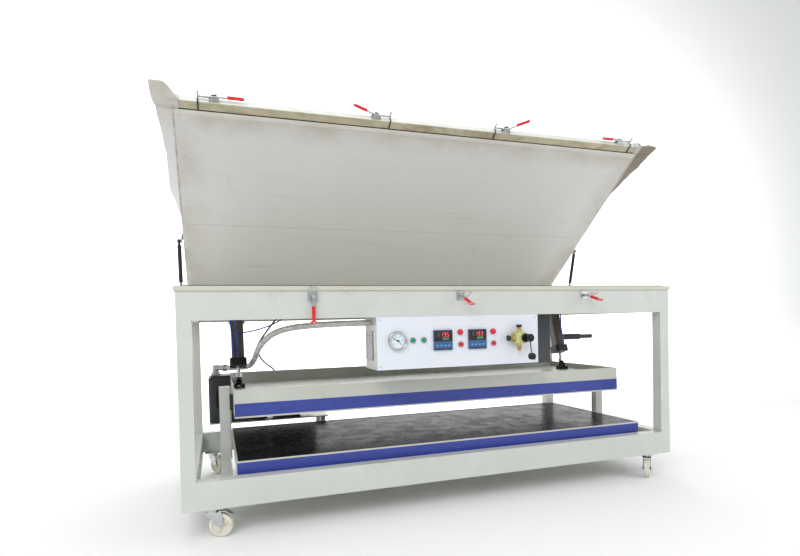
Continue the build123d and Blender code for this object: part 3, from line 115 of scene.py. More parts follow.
def lid_point(x, reach, height):
    """A point on the open lid: its distance in front of the hinge line, and its height when closed."""
    return HINGE + RIGHT * x - LID_BACK * reach + LID_UP * height


# Camera: the photograph's place, turn and framing, with its focal length and its centre in pixels
PHOTO_WIDTH, PHOTO_HEIGHT = 800, 556
FOCAL_LENGTH = 546.1
CENTRE_X, CENTRE_Y = 406.8, 334.8
CAMERA_PLACE = (-1.1292, -3.0016, 0.9038)
SENSOR_WIDTH = 36.0
yaw, pitch, roll = radians(19.149), radians(-1.318), radians(-1.290)
forward = Vector((sin(yaw) * cos(pitch), cos(yaw) * cos(pitch), sin(pitch)))
level = Vector((cos(yaw), -sin(yaw), 0.0))
upright = level.cross(forward)
side = level * cos(roll) + upright * sin(roll)
top = upright * cos(roll) - level * sin(roll)
camera = bpy.data.objects.new("camera", bpy.data.cameras.new("camera"))
bpy.context.scene.collection.objects.link(camera)
camera.matrix_world = Matrix.Translation(CAMERA_PLACE) @ Matrix(
    (
        (side.x, top.x, -forward.x),
        (side.y, top.y, -forward.y),
        (side.z, top.z, -forward.z),
    )
).to_4x4()
camera.data.sensor_width = SENSOR_WIDTH
camera.data.lens = FOCAL_LENGTH / PHOTO_WIDTH * SENSOR_WIDTH
camera.data.shift_x = -(CENTRE_X - PHOTO_WIDTH / 2) / PHOTO_WIDTH
camera.data.shift_y = (CENTRE_Y - PHOTO_HEIGHT / 2) / PHOTO_WIDTH
camera.data.clip_end = 100.0
bpy.context.scene.camera = camera


# Materials
def srgb(code):
    """A linear colour from a six-digit code."""
    parts = [int(code[i : i + 2], 16) / 255 for i in (0, 2, 4)]
    return (*[c / 12.92 if c < 0.04045 else ((c + 0.055) / 1.055) ** 2.4 for c in parts], 1.0)


class Look:
    """A node material in the making. Its place is the piece's own coordinates, in metres."""

    def __init__(self, name):
        self.material = bpy.data.materials.new(name)
        self.material.use_nodes = True
        self.tree = self.material.node_tree
        self.shader = self.tree.nodes["Principled BSDF"]
        self.place = self.node("ShaderNodeTexCoord").outputs["Object"]

    def node(self, kind, inputs=None, **settings):
        made = self.tree.nodes.new(kind)
        for key, value in settings.items():
            setattr(made, key, value)
        for key, value in (inputs or {}).items():
            self.put(made.inputs[key], value)
        return made

    def put(self, socket, value):
        if isinstance(value, bpy.types.NodeSocket):
            self.tree.links.new(value, socket)
        else:
            socket.default_value = value

    def math(self, operation, first, second=0.5):
        return self.node("ShaderNodeMath", {0: first, 1: second}, operation=operation).outputs[0]

    def noise(self, scale, detail=4.0, rough=0.55, stretch=None):
        place = self.place
        if stretch:
            place = self.node("ShaderNodeMapping", {"Vector": place, "Scale": stretch}).outputs[0]
        values = {"Vector": place, "Scale": scale, "Detail": detail, "Roughness": rough}
        return self.node("ShaderNodeTexNoise", values).outputs["Fac"]

    def span(self, value, low, high, to_low=0.0, to_high=1.0):
        """A value read on a scale from low to high, held at its ends."""
        made = self.node("ShaderNodeMapRange", {0: value, 1: low, 2: high, 3: to_low, 4: to_high})
        return made.outputs[0]

    def mix(self, share, first, second):
        """The first colour where the share is 0, and the second where it is 1."""
        made = self.node("ShaderNodeMix", {0: share, 6: first, 7: second}, data_type="RGBA")
        return made.outputs[2]

    def vectors(self, operation, first, second):
        return self.node("ShaderNodeVectorMath", {0: first, 1: second}, operation=operation)

    def apart(self, origin):
        return self.vectors("SUBTRACT", self.place, tuple(origin)).outputs[0]

    def along(self, origin, direction):
        """The distance of a place from a point, along a direction."""
        return self.vectors("DOT_PRODUCT", self.apart(origin), tuple(direction)).outputs[1]

    def around(self, origin, axis):
        """The distance of a place from a line."""
        across = self.vectors("CROSS_PRODUCT", self.apart(origin), tuple(axis)).outputs[0]
        return self.vectors("LENGTH", across, (0.0, 0.0, 0.0)).outputs[1]

    def above(self, value, limit, soft=0.0004):
        return self.span(value, limit - soft, limit + soft)

    def between(self, value, low, high, soft=0.0004):
        below = self.span(value, high - soft, high + soft, 1.0, 0.0)
        return self.math("MULTIPLY", self.above(value, low, soft), below)

    def tones(self, colour, amount, scale=5.0, detail=4.0, stretch=None):
        """A colour with slow light and dark patches in it."""
        dark = tuple(c * (1 - amount) for c in colour[:3]) + (1.0,)
        light = tuple(min(1.0, c * (1 + amount)) for c in colour[:3]) + (1.0,)
        share = self.span(self.noise(scale, detail, stretch=stretch), 0.3, 0.7)
        return self.mix(share, dark, light)

    def bump(self, height, strength, distance=0.001):
        made = self.node("ShaderNodeBump", {"Height": height, "Strength": strength, "Distance": distance})
        self.put(self.shader.inputs["Normal"], made.outputs[0])

    def finish(self, colour, rough, metallic=0.0, spread=0.08, rough_scale=30.0):
        self.put(self.shader.inputs["Base Color"], colour)
        self.put(self.shader.inputs["Metallic"], metallic)
        uneven = self.span(self.noise(rough_scale), 0.3, 0.7, rough - spread, rough + spread)
        self.put(self.shader.inputs["Roughness"], uneven)
        return self.material


looks = {}


def plain(
    name, code, rough, metallic=0.0, vary=0.06, scale=6.0, grain=900.0, bump=0.08, dirt=None, dirt_share=0.0
):
    """A painted, moulded or plated finish: slow tones, fine grain and, where asked, dirt in patches."""
    look = Look(name)
    colour = look.tones(srgb(code), vary, scale)
    if dirt:
        patches = look.span(look.noise(3.2, 6.0, 0.65), 0.62 - dirt_share, 0.78 - dirt_share * 0.5)
        specks = look.span(look.noise(60.0, 3.0), 0.45, 0.7, 0.25, 1.0)
        colour = look.mix(look.math("MULTIPLY", patches, specks), colour, srgb(dirt))
    look.bump(look.noise(grain, 2.0), bump, 0.0004)
    looks[name] = look.finish(colour, rough, metallic)


# Painted metal
plain("frame_paint", "C7CAC3", 0.38, vary=0.035, grain=420.0, bump=0.10, dirt="A8AA9E", dirt_share=0.05)
plain("table_cream", "C3C3B5", 0.40, vary=0.03, grain=420.0, bump=0.10, dirt="C2BC9E", dirt_share=0.06)
plain("box_paint", "CBCDC6", 0.42, vary=0.03, grain=420.0, bump=0.08, dirt="A9A99C", dirt_share=0.04)
plain("dark_cabinet", "3B4043", 0.45, vary=0.10, bump=0.10, dirt="5E5F5C", dirt_share=0.05)
plain(
    "motor_grey",
    "4A4D52",
    0.50,
    metallic=0.2,
    vary=0.12,
    grain=260.0,
    bump=0.35,
    dirt="6E6C66",
    dirt_share=0.08,
)
plain("gas_strut", "1B1C1E", 0.28, vary=0.2, bump=0.04)
plain("fork_black", "1D1E1F", 0.36, vary=0.2, bump=0.10, dirt="4B453B", dirt_share=0.06)
plain("needle_black", "101011", 0.40, vary=0.2)

# Bare and plated metal
plain(
    "pipe_metal",
    "B9BBBC",
    0.36,
    metallic=0.9,
    vary=0.12,
    scale=25.0,
    bump=0.12,
    dirt="7C7A74",
    dirt_share=0.1,
)
plain(
    "zinc",
    "C4C6C6",
    0.30,
    metallic=1.0,
    vary=0.10,
    scale=60.0,
    grain=1500.0,
    bump=0.10,
    dirt="8B8478",
    dirt_share=0.06,
)
plain("dark_steel", "3A3A3C", 0.42, metallic=0.8, vary=0.20, scale=40.0, bump=0.12)
plain("chrome", "C9CBCE", 0.14, metallic=1.0, vary=0.06, scale=40.0, bump=0.03)

# Rubber, plastic and printing
plain("black_rubber", "1A1A1B", 0.62, vary=0.25, grain=500.0, bump=0.2)
plain("black_plastic", "111214", 0.22, vary=0.25, bump=0.03)
plain("green_plastic", "0B8C5C", 0.20, vary=0.10, bump=0.02)
plain("red_plastic", "D0141B", 0.20, vary=0.10, bump=0.02)
plain("red_grip", "D8151D", 0.34, vary=0.10, scale=30.0, grain=700.0, bump=0.12)
plain("cable_black", "17181A", 0.48, vary=0.2, bump=0.10)
plain("blue_tube", "2A3D9E", 0.28, vary=0.10, scale=20.0, bump=0.03)
plain("dial_ink", "16181A", 0.5, vary=0.1)
plain("key_light", "9FC4E4", 0.45, vary=0.05)

look = Look("panel_white")
look.bump(look.noise(500.0, 2.0), 0.05, 0.0003)
looks["panel_white"] = look.finish(look.tones(srgb("DCE0E8"), 0.02, 3.0), 0.34, spread=0.04)


def striped(name, face, band_levels):
    """Platen paint with the blue band across the front face, between two levels."""
    look = Look(name)
    paint = look.tones(srgb("C6C9BF"), 0.035, 5.0)
    patches = look.span(look.noise(3.0, 6.0, 0.65), 0.56, 0.76, 0.0, 0.6)
    paint = look.mix(patches, paint, srgb("A7AB9F"))
    blue = look.tones(srgb("34439A"), 0.10, 4.0, stretch=(1.0, 1.0, 6.0))
    scuffs = look.span(look.noise(26.0, 5.0, 0.7, stretch=(0.35, 1.0, 2.0)), 0.66, 0.72, 0.0, 0.55)
    blue = look.mix(scuffs, blue, srgb("8A93BE"))
    edge = look.math("MULTIPLY", look.noise(40.0), 0.0012)
    up = look.math("ADD", look.along(ORIGIN, UP), edge)
    band = look.between(up, *band_levels, 0.0003)
    on_face = look.span(look.along((0, face, 0), (0, 1, 0)), 0.0002, 0.0006, 1.0, 0.0)
    look.bump(look.noise(420.0, 2.0), 0.08, 0.0004)
    looks[name] = look.finish(look.mix(look.math("MULTIPLY", band, on_face), paint, blue), 0.34)


striped("lower_paint", LOWER_FRONT, LOWER_BAND)
striped("upper_paint", UPPER_FRONT, UPPER_BAND)

# The heating plates: dark metal, paler to the right, with long scratches and milky and brown patches
look = Look("heating_plate")
metal = look.tones(srgb("5F5D60"), 0.10, 2.2, 7.0)
milky = look.span(look.noise(2.0, 6.0, 0.6), 0.48, 0.74, 0.0, 0.6)
metal = look.mix(milky, metal, srgb("7C7A7B"))
paler = look.span(look.along(ORIGIN, RIGHT), -0.9, 1.1, 0.0, 0.6)
metal = look.mix(paler, metal, srgb("8B8A8C"))
stains = look.span(look.noise(5.0, 6.0, 0.6), 0.58, 0.76, 0.0, 0.35)
metal = look.mix(stains, metal, srgb("574C44"))
scratches = look.noise(160.0, 3.0, stretch=(0.03, 1.0, 1.0))
look.bump(scratches, 0.12, 0.0003)
look.shader.inputs["Specular Tint"].default_value = (0.25, 0.245, 0.25, 1.0)
looks["heating_plate"] = look.finish(metal, 0.26, 0.85, 0.10, 12.0)

# The silicone membrane: matt, off-white, with faint brown stains, darker edges and long soft streaks, and
# painted light and shade
look = Look("silicone")
sheet_colour = look.tones(srgb("D3D3D1"), 0.030, 2.4, 6.0)
reach = look.along(HINGE, -LID_BACK)
apart = look.math("ABSOLUTE", look.along(ORIGIN, RIGHT))
# Painted light: the sheet is painted paler towards the hinge, most where it hangs low near the table
sheet_colour = look.mix(look.span(reach, 0.2, 1.1, 0.85, 0.1), sheet_colour, srgb("F4F3EF"))
blotches = look.span(look.noise(4.6, 8.0, 0.72), 0.60, 0.76, 0.0, 0.30)
sheet_colour = look.mix(blotches, sheet_colour, srgb("B7AB95"))
streaks = look.span(look.noise(9.0, 5.0, 0.6, stretch=(0.10, 1.0, 1.0)), 0.60, 0.74, 0.0, 0.30)
sheet_colour = look.mix(streaks, sheet_colour, srgb("BDB8AD"))

# Its edges are darker and browner towards the sides and the front, in patches
side_darkening = look.span(apart, 1.13, 1.285, 0.0, 0.5)
side_darkening = look.math("MULTIPLY", side_darkening, look.span(apart, 1.287, 1.297, 1.0, 0.0))
edge_darkening = look.math("MAXIMUM", side_darkening, look.span(reach, 1.13, 1.24, 0.0, 0.5))
edge_darkening = look.math("MULTIPLY", edge_darkening, look.span(look.noise(6.0, 5.0, 0.6), 0.32, 0.62, 0.25, 1.0))
sheet_colour = look.mix(edge_darkening, sheet_colour, srgb("A3947C"))

# The bead along the front, painted shade in the side fold's crease and in the seam at the clamp bar, and a
# faint line across the sheet
bead = look.between(reach, BEAD_BACK, 1.2770, 0.003)
bead = look.math("MULTIPLY", bead, look.span(apart, 1.280, 1.290, 1.0, 0.0))
sheet_colour = look.mix(look.math("MULTIPLY", bead, 0.55), sheet_colour, srgb("D6D2C8"))
# Painted shade: a dark brown line in the crease where the sheet folds up at the sides
fold_crease_shade = look.between(apart, 1.2855, 1.2925, 0.002)
fold_crease_shade = look.math("MULTIPLY", fold_crease_shade, look.between(reach, 0.65, 1.26, 0.05))
fold_crease_shade_noise = look.span(look.noise(18.0, 4.0), 0.35, 0.6, 0.25, 0.75)
sheet_colour = look.mix(look.math("MULTIPLY", fold_crease_shade, fold_crease_shade_noise), sheet_colour, srgb("8A7A66"))
# Painted shade: a dark line in the groove between the sheet and the clamp bar
seam_shade = look.between(reach, BEAD_EDGE, 1.2811, 0.0012)
seam_shade = look.math("MULTIPLY", seam_shade, look.span(apart, 1.262, 1.268, 1.0, 0.0))
sheet_colour = look.mix(seam_shade, sheet_colour, srgb("3E312B"))
faint_line = look.between(reach, 0.600, 0.604, 0.0015)
sheet_colour = look.mix(look.math("MULTIPLY", faint_line, 0.35), sheet_colour, srgb("9A968C"))
specks = look.span(look.noise(150.0, 2.0), 0.73, 0.77, 0.0, 0.45)
sheet_colour = look.mix(specks, sheet_colour, srgb("7E7666"))

# The loose corner at the right is painted darker and browner, as painted shade
loose_corner_shade = look.span(look.along(ORIGIN, RIGHT), 1.290, 1.300, 0.0, 0.88)
sheet_colour = look.mix(loose_corner_shade, sheet_colour, look.tones(srgb("7C705E"), 0.12, 12.0))

# The bead is round, and the whole sheet is slightly uneven
across_bead = look.span(reach, BEAD_BACK, MEMBRANE_FRONT, -1.0, 1.0)
rounded = look.math("SUBTRACT", 1.0, look.math("MULTIPLY", across_bead, across_bead))
rounded = look.math("SQRT", rounded)
rounded = look.math("MULTIPLY", rounded, look.span(apart, 1.270, 1.290, 1.0, 0.0))
rounded = look.math("MULTIPLY", rounded, 2.2)
height = look.math("MULTIPLY", look.noise(900.0, 2.0), 0.04)
height = look.math("ADD", look.noise(9.0, 3.0), height)
look.bump(look.math("ADD", height, rounded), 0.35, 0.004)
look.shader.inputs["Subsurface Weight"].default_value = 0.06
look.shader.inputs["Subsurface Radius"].default_value = (0.004, 0.0035, 0.003)
looks["silicone"] = look.finish(sheet_colour, 0.60, spread=0.10)

# The clamp bar: cream paint, yellower and darker on its underside, with brown stains mostly there
look = Look("bar_cream")
bar = look.tones(srgb("D6DBD2"), 0.03, 4.0)
lower = look.span(look.along(lid_point(0, 0, 0), LID_UP), BAR_LOW + 0.001, BAR_LOW + 0.004, 1.0, 0.0)
bar = look.mix(lower, bar, look.tones(srgb("B9B198"), 0.06, 5.0))
stain_noise = look.noise(6.0, 7.0, 0.72, stretch=(1.0, 2.2, 2.2))
stained = look.math("MULTIPLY", look.span(stain_noise, 0.46, 0.62), look.span(lower, 0.0, 1.0, 0.12, 0.60))
bar = look.mix(stained, bar, srgb("7E6C4A"))
chips = look.span(look.noise(46.0, 5.0, 0.7), 0.70, 0.74, 0.0, 0.6)
bar = look.mix(chips, bar, srgb("6A6253"))
# Painted shade: a dark line in the groove at the bar's back edge, against the sheet
groove_shade = look.span(look.along(HINGE, -LID_BACK), BAR_BACK + 0.0018, BAR_BACK + 0.0034, 1.0, 0.0)
bar = look.mix(groove_shade, bar, srgb("3E312B"))
look.bump(look.noise(300.0, 3.0), 0.15, 0.0006)
looks["bar_cream"] = look.finish(bar, 0.45)

# Lid clamps: zinc plated, with dark hook rods over the clamp bar and the lid's sides
look = Look("clamp_zinc")
clamp_metal = look.tones(srgb("BDBFBE"), 0.14, 60.0)
rust = look.span(look.noise(90.0, 5.0, 0.7), 0.56, 0.70, 0.0, 0.6)
clamp_metal = look.mix(rust, clamp_metal, srgb("6E675C"))
high = look.along(lid_point(0, 0, 0), LID_UP)
beyond_bar = look.above(look.along(HINGE, -LID_BACK), BAR_FRONT + 0.007)
front_rod = look.math("MULTIPLY", look.span(high, -0.0130, -0.0120, 1.0, 0.0), beyond_bar)
front_rod = look.math("MAXIMUM", front_rod, look.span(high, -0.0205, -0.0200, 1.0, 0.0))
side_rod = look.above(look.math("ABSOLUTE", look.along(ORIGIN, RIGHT)), 1.2935)
clamp_metal = look.mix(look.math("MAXIMUM", front_rod, side_rod), clamp_metal, srgb("3A3634"))
look.bump(look.noise(900.0, 2.0), 0.10, 0.0004)
looks["clamp_zinc"] = look.finish(clamp_metal, 0.34, 0.85)

# Cylinder barrels: dark anodised extrusions between black caps, with a black silencer
look = Look("cylinder_metal")
down = look.along(LIFT_TOP, (LIFT_FOOT - LIFT_TOP).normalized())
metal = look.tones(srgb("625E5B"), 0.12, 9.0, stretch=(1.0, 1.0, 0.2))
metal = look.mix(look.between(down, 0.062, 0.273), srgb("17181A"), metal)
silenced = look.above(look.along((1.025 + 0.045, 0, 0), RIGHT), 0.0)
metal = look.mix(silenced, metal, look.tones(srgb("2B2D33"), 0.2, 30.0))
look.bump(look.noise(700.0, 2.0, stretch=(1.0, 1.0, 0.1)), 0.10, 0.0003)
looks["cylinder_metal"] = look.finish(metal, 0.38, 0.35)

# Cylinder rods: chromed above the blackened foot clevis
look = Look("cylinder_rod")
plated = look.above(look.along(ORIGIN, UP), LIFT_FOOT.z + 0.028, 0.0006)
clevis = look.tones(srgb("1E1E20"), 0.2, 30.0)
rod_metal = look.mix(plated, clevis, look.tones(srgb("C4C6C9"), 0.08, 40.0))
look.bump(look.noise(900.0, 2.0), 0.06, 0.0003)
looks["cylinder_rod"] = look.finish(rod_metal, 0.26, 0.9)

# Vacuum pump: black casting with dust on it
look = Look("pump_black")
dust = look.span(look.noise(14.0, 6.0, 0.65), 0.50, 0.75, 0.0, 0.45)
body_colour = look.mix(dust, look.tones(srgb("27292D"), 0.2, 12.0), srgb("54565A"))
look.bump(look.noise(240.0, 3.0), 0.35, 0.0008)
looks["pump_black"] = look.finish(body_colour, 0.48, 0.1)

# Controllers: a black window above a blue key field, in a dark bezel
look = Look("controller")
up = look.along((0, 0, BOX_TOP - CONTROLLER_DROP), UP)
out = look.along((0, CONTROLLER_FACE, 0), OUT)
face = look.mix(look.between(up, -0.0405, -0.0065), srgb("1E2A3B"), srgb("2C5C8C"))
face = look.mix(look.above(up, -0.0055), face, srgb("23313F"))
sunk = look.math("MULTIPLY", look.between(up, -0.0052, 0.0412), look.span(out, -0.0012, -0.0006, 1.0, 0.0))
face = look.mix(sunk, face, srgb("0B0C10"))
face = look.mix(look.above(out, 0.0006, 0.0002), face, srgb("3F7FB8"))
look.bump(look.noise(800.0, 2.0), 0.06, 0.0003)
haze = look.span(look.noise(50.0), 0.3, 0.7, 0.0, 0.12)
looks["controller"] = look.finish(look.mix(haze, face, srgb("5E6A75")), 0.36)

# Hand valve: pale yellow-green casting, brass stubs, black end knobs and hub
look = Look("valve_body")
from_middle = look.around(VALVE, (0, 1, 0))
deep = look.along((0, PANEL, 0), OUT)
casting = look.tones(srgb("C9C789"), 0.12, 40.0)
worn = look.span(look.noise(70.0, 5.0, 0.7), 0.60, 0.72, 0.0, 0.6)
casting = look.mix(worn, casting, srgb("8E8A5C"))
stubs = look.above(from_middle, 0.0405, 0.0003)
parts = look.mix(stubs, casting, look.tones(srgb("B48A48"), 0.12, 60.0))
knobs = look.above(look.along(VALVE, UP), -0.020, 0.0005)
knobs = look.math("MULTIPLY", look.above(from_middle, VALVE_STUB, 0.0003), knobs)
parts = look.mix(knobs, parts, srgb("141518"))
parts = look.mix(look.above(deep, 0.0545, 0.0003), parts, srgb("141518"))
look.bump(look.noise(300.0, 3.0), 0.30, 0.0006)
looks["valve_body"] = look.finish(parts, 0.40, 0.25)

# Wheels: cream nylon with a grey, rolled tread
look = Look("wheel_cream")
wheel_colour = look.tones(srgb("DEDAC9"), 0.05, 30.0)
grime = look.span(look.noise(45.0, 6.0, 0.7), 0.50, 0.68, 0.0, 0.55)
look.bump(look.noise(500.0, 2.0), 0.12, 0.0004)
looks["wheel_cream"] = look.finish(look.mix(grime, wheel_colour, srgb("8C877B")), 0.50)

# Clear hose: greyish, half see-through plastic
look = Look("clear_hose")
hose_colour = look.tones(srgb("DADBD7"), 0.08, 30.0)
look.bump(look.noise(400.0, 2.0), 0.08, 0.0003)
look.shader.inputs["Transmission Weight"].default_value = 0.25
look.shader.inputs["IOR"].default_value = 1.4
looks["clear_hose"] = look.finish(hose_colour, 0.24)


def glowing(name, code, strength):
    """A lit figure of a display, or an unlit one given a faint painted glow."""
    look = Look(name)
    colour = look.tones(srgb(code), 0.08, 90.0)
    look.put(look.shader.inputs["Emission Color"], srgb(code))
    look.shader.inputs["Emission Strength"].default_value = strength
    looks[name] = look.finish(colour, 0.4)


glowing("digit_red", "FF4A55", 0.9)
# Unlit bars, with a faint painted glow
glowing("digit_unlit_glow", "5A5F66", 0.05)
glowing("digit_green", "9FC8A0", 0.25)

# The CAD pieces take the look of their slot, apart from these
dressed = {
    "lower_platen_housing": "lower_paint",
    "upper_platen_housing": "upper_paint",
    "lid_clamp_bases": "clamp_zinc",
    "lift_rods": "cylinder_rod",
}
for part in frame["record"]["subparts"]:
    name = part["node"]
    wanted = dressed.get(name, part["material_slot"])
    if name.startswith(("lid_clamp_handle", "side_clamp_handle", "latch_handle")):
        wanted = "zinc"
    for place in frame["nodes"][name].material_slots:
        place.material = looks[wanted]


# Pieces
def new_object(name, data, material, body):
    made = bpy.data.objects.new(name, data)
    bpy.context.scene.collection.objects.link(made)
    data.materials.append(looks[material])
    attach(made, body)
    return made


def from_bmesh(name, mesh_data, material, body, smooth=False):
    bmesh.ops.recalc_face_normals(mesh_data, faces=mesh_data.faces)
    mesh = bpy.data.meshes.new(name)
    mesh_data.to_mesh(mesh)
    mesh_data.free()
    if smooth:
        mesh.shade_smooth()
    return new_object(name, mesh, material, body)


def join_rows(mesh_data, rows, rings=False):
    """Faces between rows of points. Rings are rows whose last point joins the first."""
    for low, high in zip(rows, rows[1:]):
        for i in range(len(low) if rings else len(low) - 1):
            j = (i + 1) % len(low)
            mesh_data.faces.new((low[i], low[j], high[j], high[i]))


def add_ring(mesh_data, centre, across, other, radii):
    """Points around a centre, each at its own radius."""
    ring = []
    for i, radius in enumerate(radii):
        turn = 2 * pi * i / len(radii)
        ring.append(mesh_data.verts.new(centre + (across * cos(turn) + other * sin(turn)) * radius))
    return ring


def directions(axis):
    """An axis and two directions across it."""
    axis = Vector(axis).normalized()
    across = axis.orthogonal().normalized()
    return axis, across, axis.cross(across)


def add_turned(mesh_data, base, axis, profile, steps=32, closed=True):
    """A turned solid about an axis, from pairs of distance along it and radius."""
    axis, across, other = directions(axis)
    rings = []
    for distance, radius in profile:
        centre = Vector(base) + axis * distance
        if radius == 0:
            rings.append([mesh_data.verts.new(centre)])
        else:
            rings.append(add_ring(mesh_data, centre, across, other, [radius] * steps))
    for low, high in zip(rings, rings[1:]):
        if len(low) == len(high):
            join_rows(mesh_data, (low, high), rings=True)
            continue
        for i in range(steps):
            j = (i + 1) % steps
            corners = (low[0], high[i], high[j]) if len(low) == 1 else (low[i], low[j], high[0])
            mesh_data.faces.new(corners)
    if closed:
        for ring in (rings[0], rings[-1]):
            if len(ring) > 1:
                mesh_data.faces.new(ring)


def add_block(mesh_data, centre, size, bevel=0.0, turn=None):
    """A block with rounded edges; turn is a matrix that sets its directions."""
    made = bmesh.ops.create_cube(mesh_data, size=1.0)
    verts = made["verts"]
    for vert in verts:
        vert.co = Vector([c * s for c, s in zip(vert.co, size)])
    if bevel:
        edges = list({e for v in verts for e in v.link_edges})
        done = bmesh.ops.bevel(
            mesh_data, geom=edges, offset=bevel, segments=3, profile=0.5, affect="EDGES"
        )
        verts = list({v for f in done["faces"] for v in f.verts} | {v for v in verts if v.is_valid})
    for vert in verts:
        place = turn @ vert.co if turn else vert.co
        vert.co = Vector(centre) + place


# Cords: the vacuum hose, the power cable and the air tubes, each on its own smooth line
def curve_piece(name, points, radius, look_name, body):
    line = bpy.data.curves.new(name, "CURVE")
    line.dimensions = "3D"
    spline = line.splines.new("NURBS")
    spline.points.add(len(points) - 1)
    for made, place in zip(spline.points, points):
        made.co = (*place, 1.0)
    spline.order_u = 3
    spline.use_endpoint_u = True
    line.resolution_u = 24
    line.bevel_depth = radius
    line.bevel_resolution = 6
    line.use_fill_caps = True
    return new_object(name, line, look_name, body)


hose_points = [
    (-1.0794, 0.4131, 0.657),
    (-0.9664, 0.3001, 0.657),
    (-0.938, 0.0867, 0.720),
    (-0.928, -0.0933, 0.800),
    (-0.850, -0.2733, 0.885),
    (-0.640, -0.4633, 0.905),
    (-0.431, -0.4633, 0.905),
]
cable_points = [
    (-0.830, -0.5033, 0.965),
    (-0.830, -0.4133, 0.965),
    (-0.840, -0.2933, 0.955),
    (-0.853, -0.1733, 0.925),
    (-0.878, -0.0633, 0.882),
    (-0.912, 0.0367, 0.822),
    (-0.925, 0.1367, 0.782),
    (-0.910, 0.2367, 0.747),
    (-0.885, 0.3317, 0.702),
    (-0.845, 0.4147, 0.664),
    (-0.790, 0.4767, 0.622),
    (-0.790, 0.4767, 0.559),
]


def barrel_tube(x, foot_x):
    """An air tube's points along a cylinder's barrel, from the beam to the lower cap."""
    return ((x, 0.0649, 1.005), (x, 0.0649, 0.915), (foot_x, 0.0769, 0.8122), (foot_x, 0.0769, 0.7402))


# Each air tube's length and points: two at the left barrel, one at the right, and one to the beam
AIR_TUBES = (
    (0.264, barrel_tube(-1.040, -1.028)),
    (0.264, barrel_tube(-1.062, -1.050)),
    (0.264, barrel_tube(1.010, 1.022)),
    (
        0.392,
        (
            (-1.032, 0.0709, 0.865),
            (-0.962, 0.0709, 0.869),
            (-0.862, 0.0749, 0.899),
            (-0.802, 0.0799, 0.925),
            (-0.732, 0.0849, 0.975),
            (-0.732, 0.0849, 1.055),
        ),
    ),
)

# The hose is ribbed, so it is a mesh tube along its own smooth line
guide = curve_piece("hose_line", hose_points, 0.0, "clear_hose", "frame")
bpy.context.view_layer.update()
line_mesh = bpy.data.meshes.new_from_object(guide)
hose_line = [v.co.copy() for v in line_mesh.vertices]
bpy.data.objects.remove(guide)


def resampled(points, step):
    """Points an even step apart along a line."""
    found, left = [points[0].copy()], step
    for here, there in zip(points, points[1:]):
        gap = (there - here).length
        done = 0.0
        while gap - done >= left:
            done += left
            found.append(here.lerp(there, done / gap))
            left = step
        left -= gap - done
    if (found[-1] - points[-1]).length > step * 0.3:
        found.append(points[-1].copy())
    return found


HOSE_RADIUS = 0.0155
HOSE_SIDES = 20
RIB_DEPTH = 0.0011
RIB_STEP = 0.0085
path = resampled(hose_line, RIB_STEP / 4)
tube = bmesh.new()
across = None
rings = []
for i, centre in enumerate(path):
    ahead = path[min(i + 1, len(path) - 1)] - path[max(i - 1, 0)]
    ahead.normalize()
    across = ahead.orthogonal() if across is None else across - ahead * across.dot(ahead)
    across.normalize()
    radius = HOSE_RADIUS - RIB_DEPTH * (0.5 - 0.5 * cos(pi * (i % 4) / 2))
    rings.append(add_ring(tube, centre, across, ahead.cross(across), [radius] * HOSE_SIDES))
join_rows(tube, rings, rings=True)
tube.faces.new(rings[0])
tube.faces.new(rings[-1])
hose = from_bmesh("hose", tube, "clear_hose", "frame", smooth=True)
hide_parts("vacuum_hose")

cable = curve_piece("cable", cable_points, 0.005, "cable_black", "frame")
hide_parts("power_cable")

for number, (length, points) in enumerate(AIR_TUBES):
    air = curve_piece(f"air_tube_{number + 1}", points, 0.004, "blue_tube", "cylinder_barrels")
    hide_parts("air_tubes")

# Membrane: one sheet under the lid, folded up at the front and the sides, with its front corners loose
# The side edges, left and right: reach, the edge's width there and the angle it stands up at
FLAPS = {
    -1: (
        (MEMBRANE_BACK, 0.040, 90.0),
        (0.60, 0.040, 90.0),
        (0.70, 0.046, 62.0),
        (0.82, 0.052, 30.0),
        (1.02, 0.046, 18.0),
        (1.10, 0.052, 10.0),
        (MEMBRANE_FRONT, 0.068, 0.0),
    ),
    1: (
        (MEMBRANE_BACK, 0.040, 90.0),
        (0.60, 0.040, 90.0),
        (0.72, 0.042, 70.0),
        (0.95, 0.040, 40.0),
        (1.06, 0.040, 12.0),
        (1.13, 0.050, -3.0),
        (1.20, 0.074, -6.0),
        (MEMBRANE_FRONT, 0.087, -7.0),
    ),
}
# The loose corners beyond the front: reach, inner and outer distance from the middle, drop
EAR_INNER = 1.262
EARS = {
    -1: (
        (1.2830, EAR_INNER, 1.3600, 0.0),
        (1.3030, EAR_INNER, 1.3685, 0.0),
        (1.3240, EAR_INNER, 1.3730, 0.001),
        (1.3400, 1.272, 1.3750, 0.002),
        (1.3600, 1.284, 1.3765, 0.002),
        (1.3800, 1.297, 1.3775, 0.001),
        (1.3950, 1.310, 1.3785, -0.001),
        (1.4030, 1.322, 1.3785, -0.002),
    ),
    1: (
        (1.2830, EAR_INNER, 1.3780, 0.0085),
        (1.3000, EAR_INNER, 1.3830, 0.010),
        (1.3180, EAR_INNER, 1.3870, 0.014),
        (1.3280, 1.285, 1.3880, 0.016),
        (1.3380, 1.312, 1.3880, 0.018),
        (1.3460, 1.338, 1.3850, 0.020),
    ),
}


def eased(table, at):
    """A row of a table of values, read softly between its lines."""
    for low, high in zip(table, table[1:]):
        if at <= high[0]:
            share = (at - low[0]) / (high[0] - low[0])
            share = share * share * (3 - 2 * share)
            return [a + (b - a) * share for a, b in zip(low[1:], high[1:])]
    return table[-1][1:]


def held(value):
    """A share, held between 0 and 1."""
    return max(0.0, min(1.0, value))


def crease(turned, r, x):
    """Small folds of a loose corner, stronger away from the lid's side."""
    out = held((x - MEMBRANE_HALF) / 0.03)
    return 0.0040 * out * noise.noise(Vector((turned * 3.1, r * 13.0, x * 9.0)))


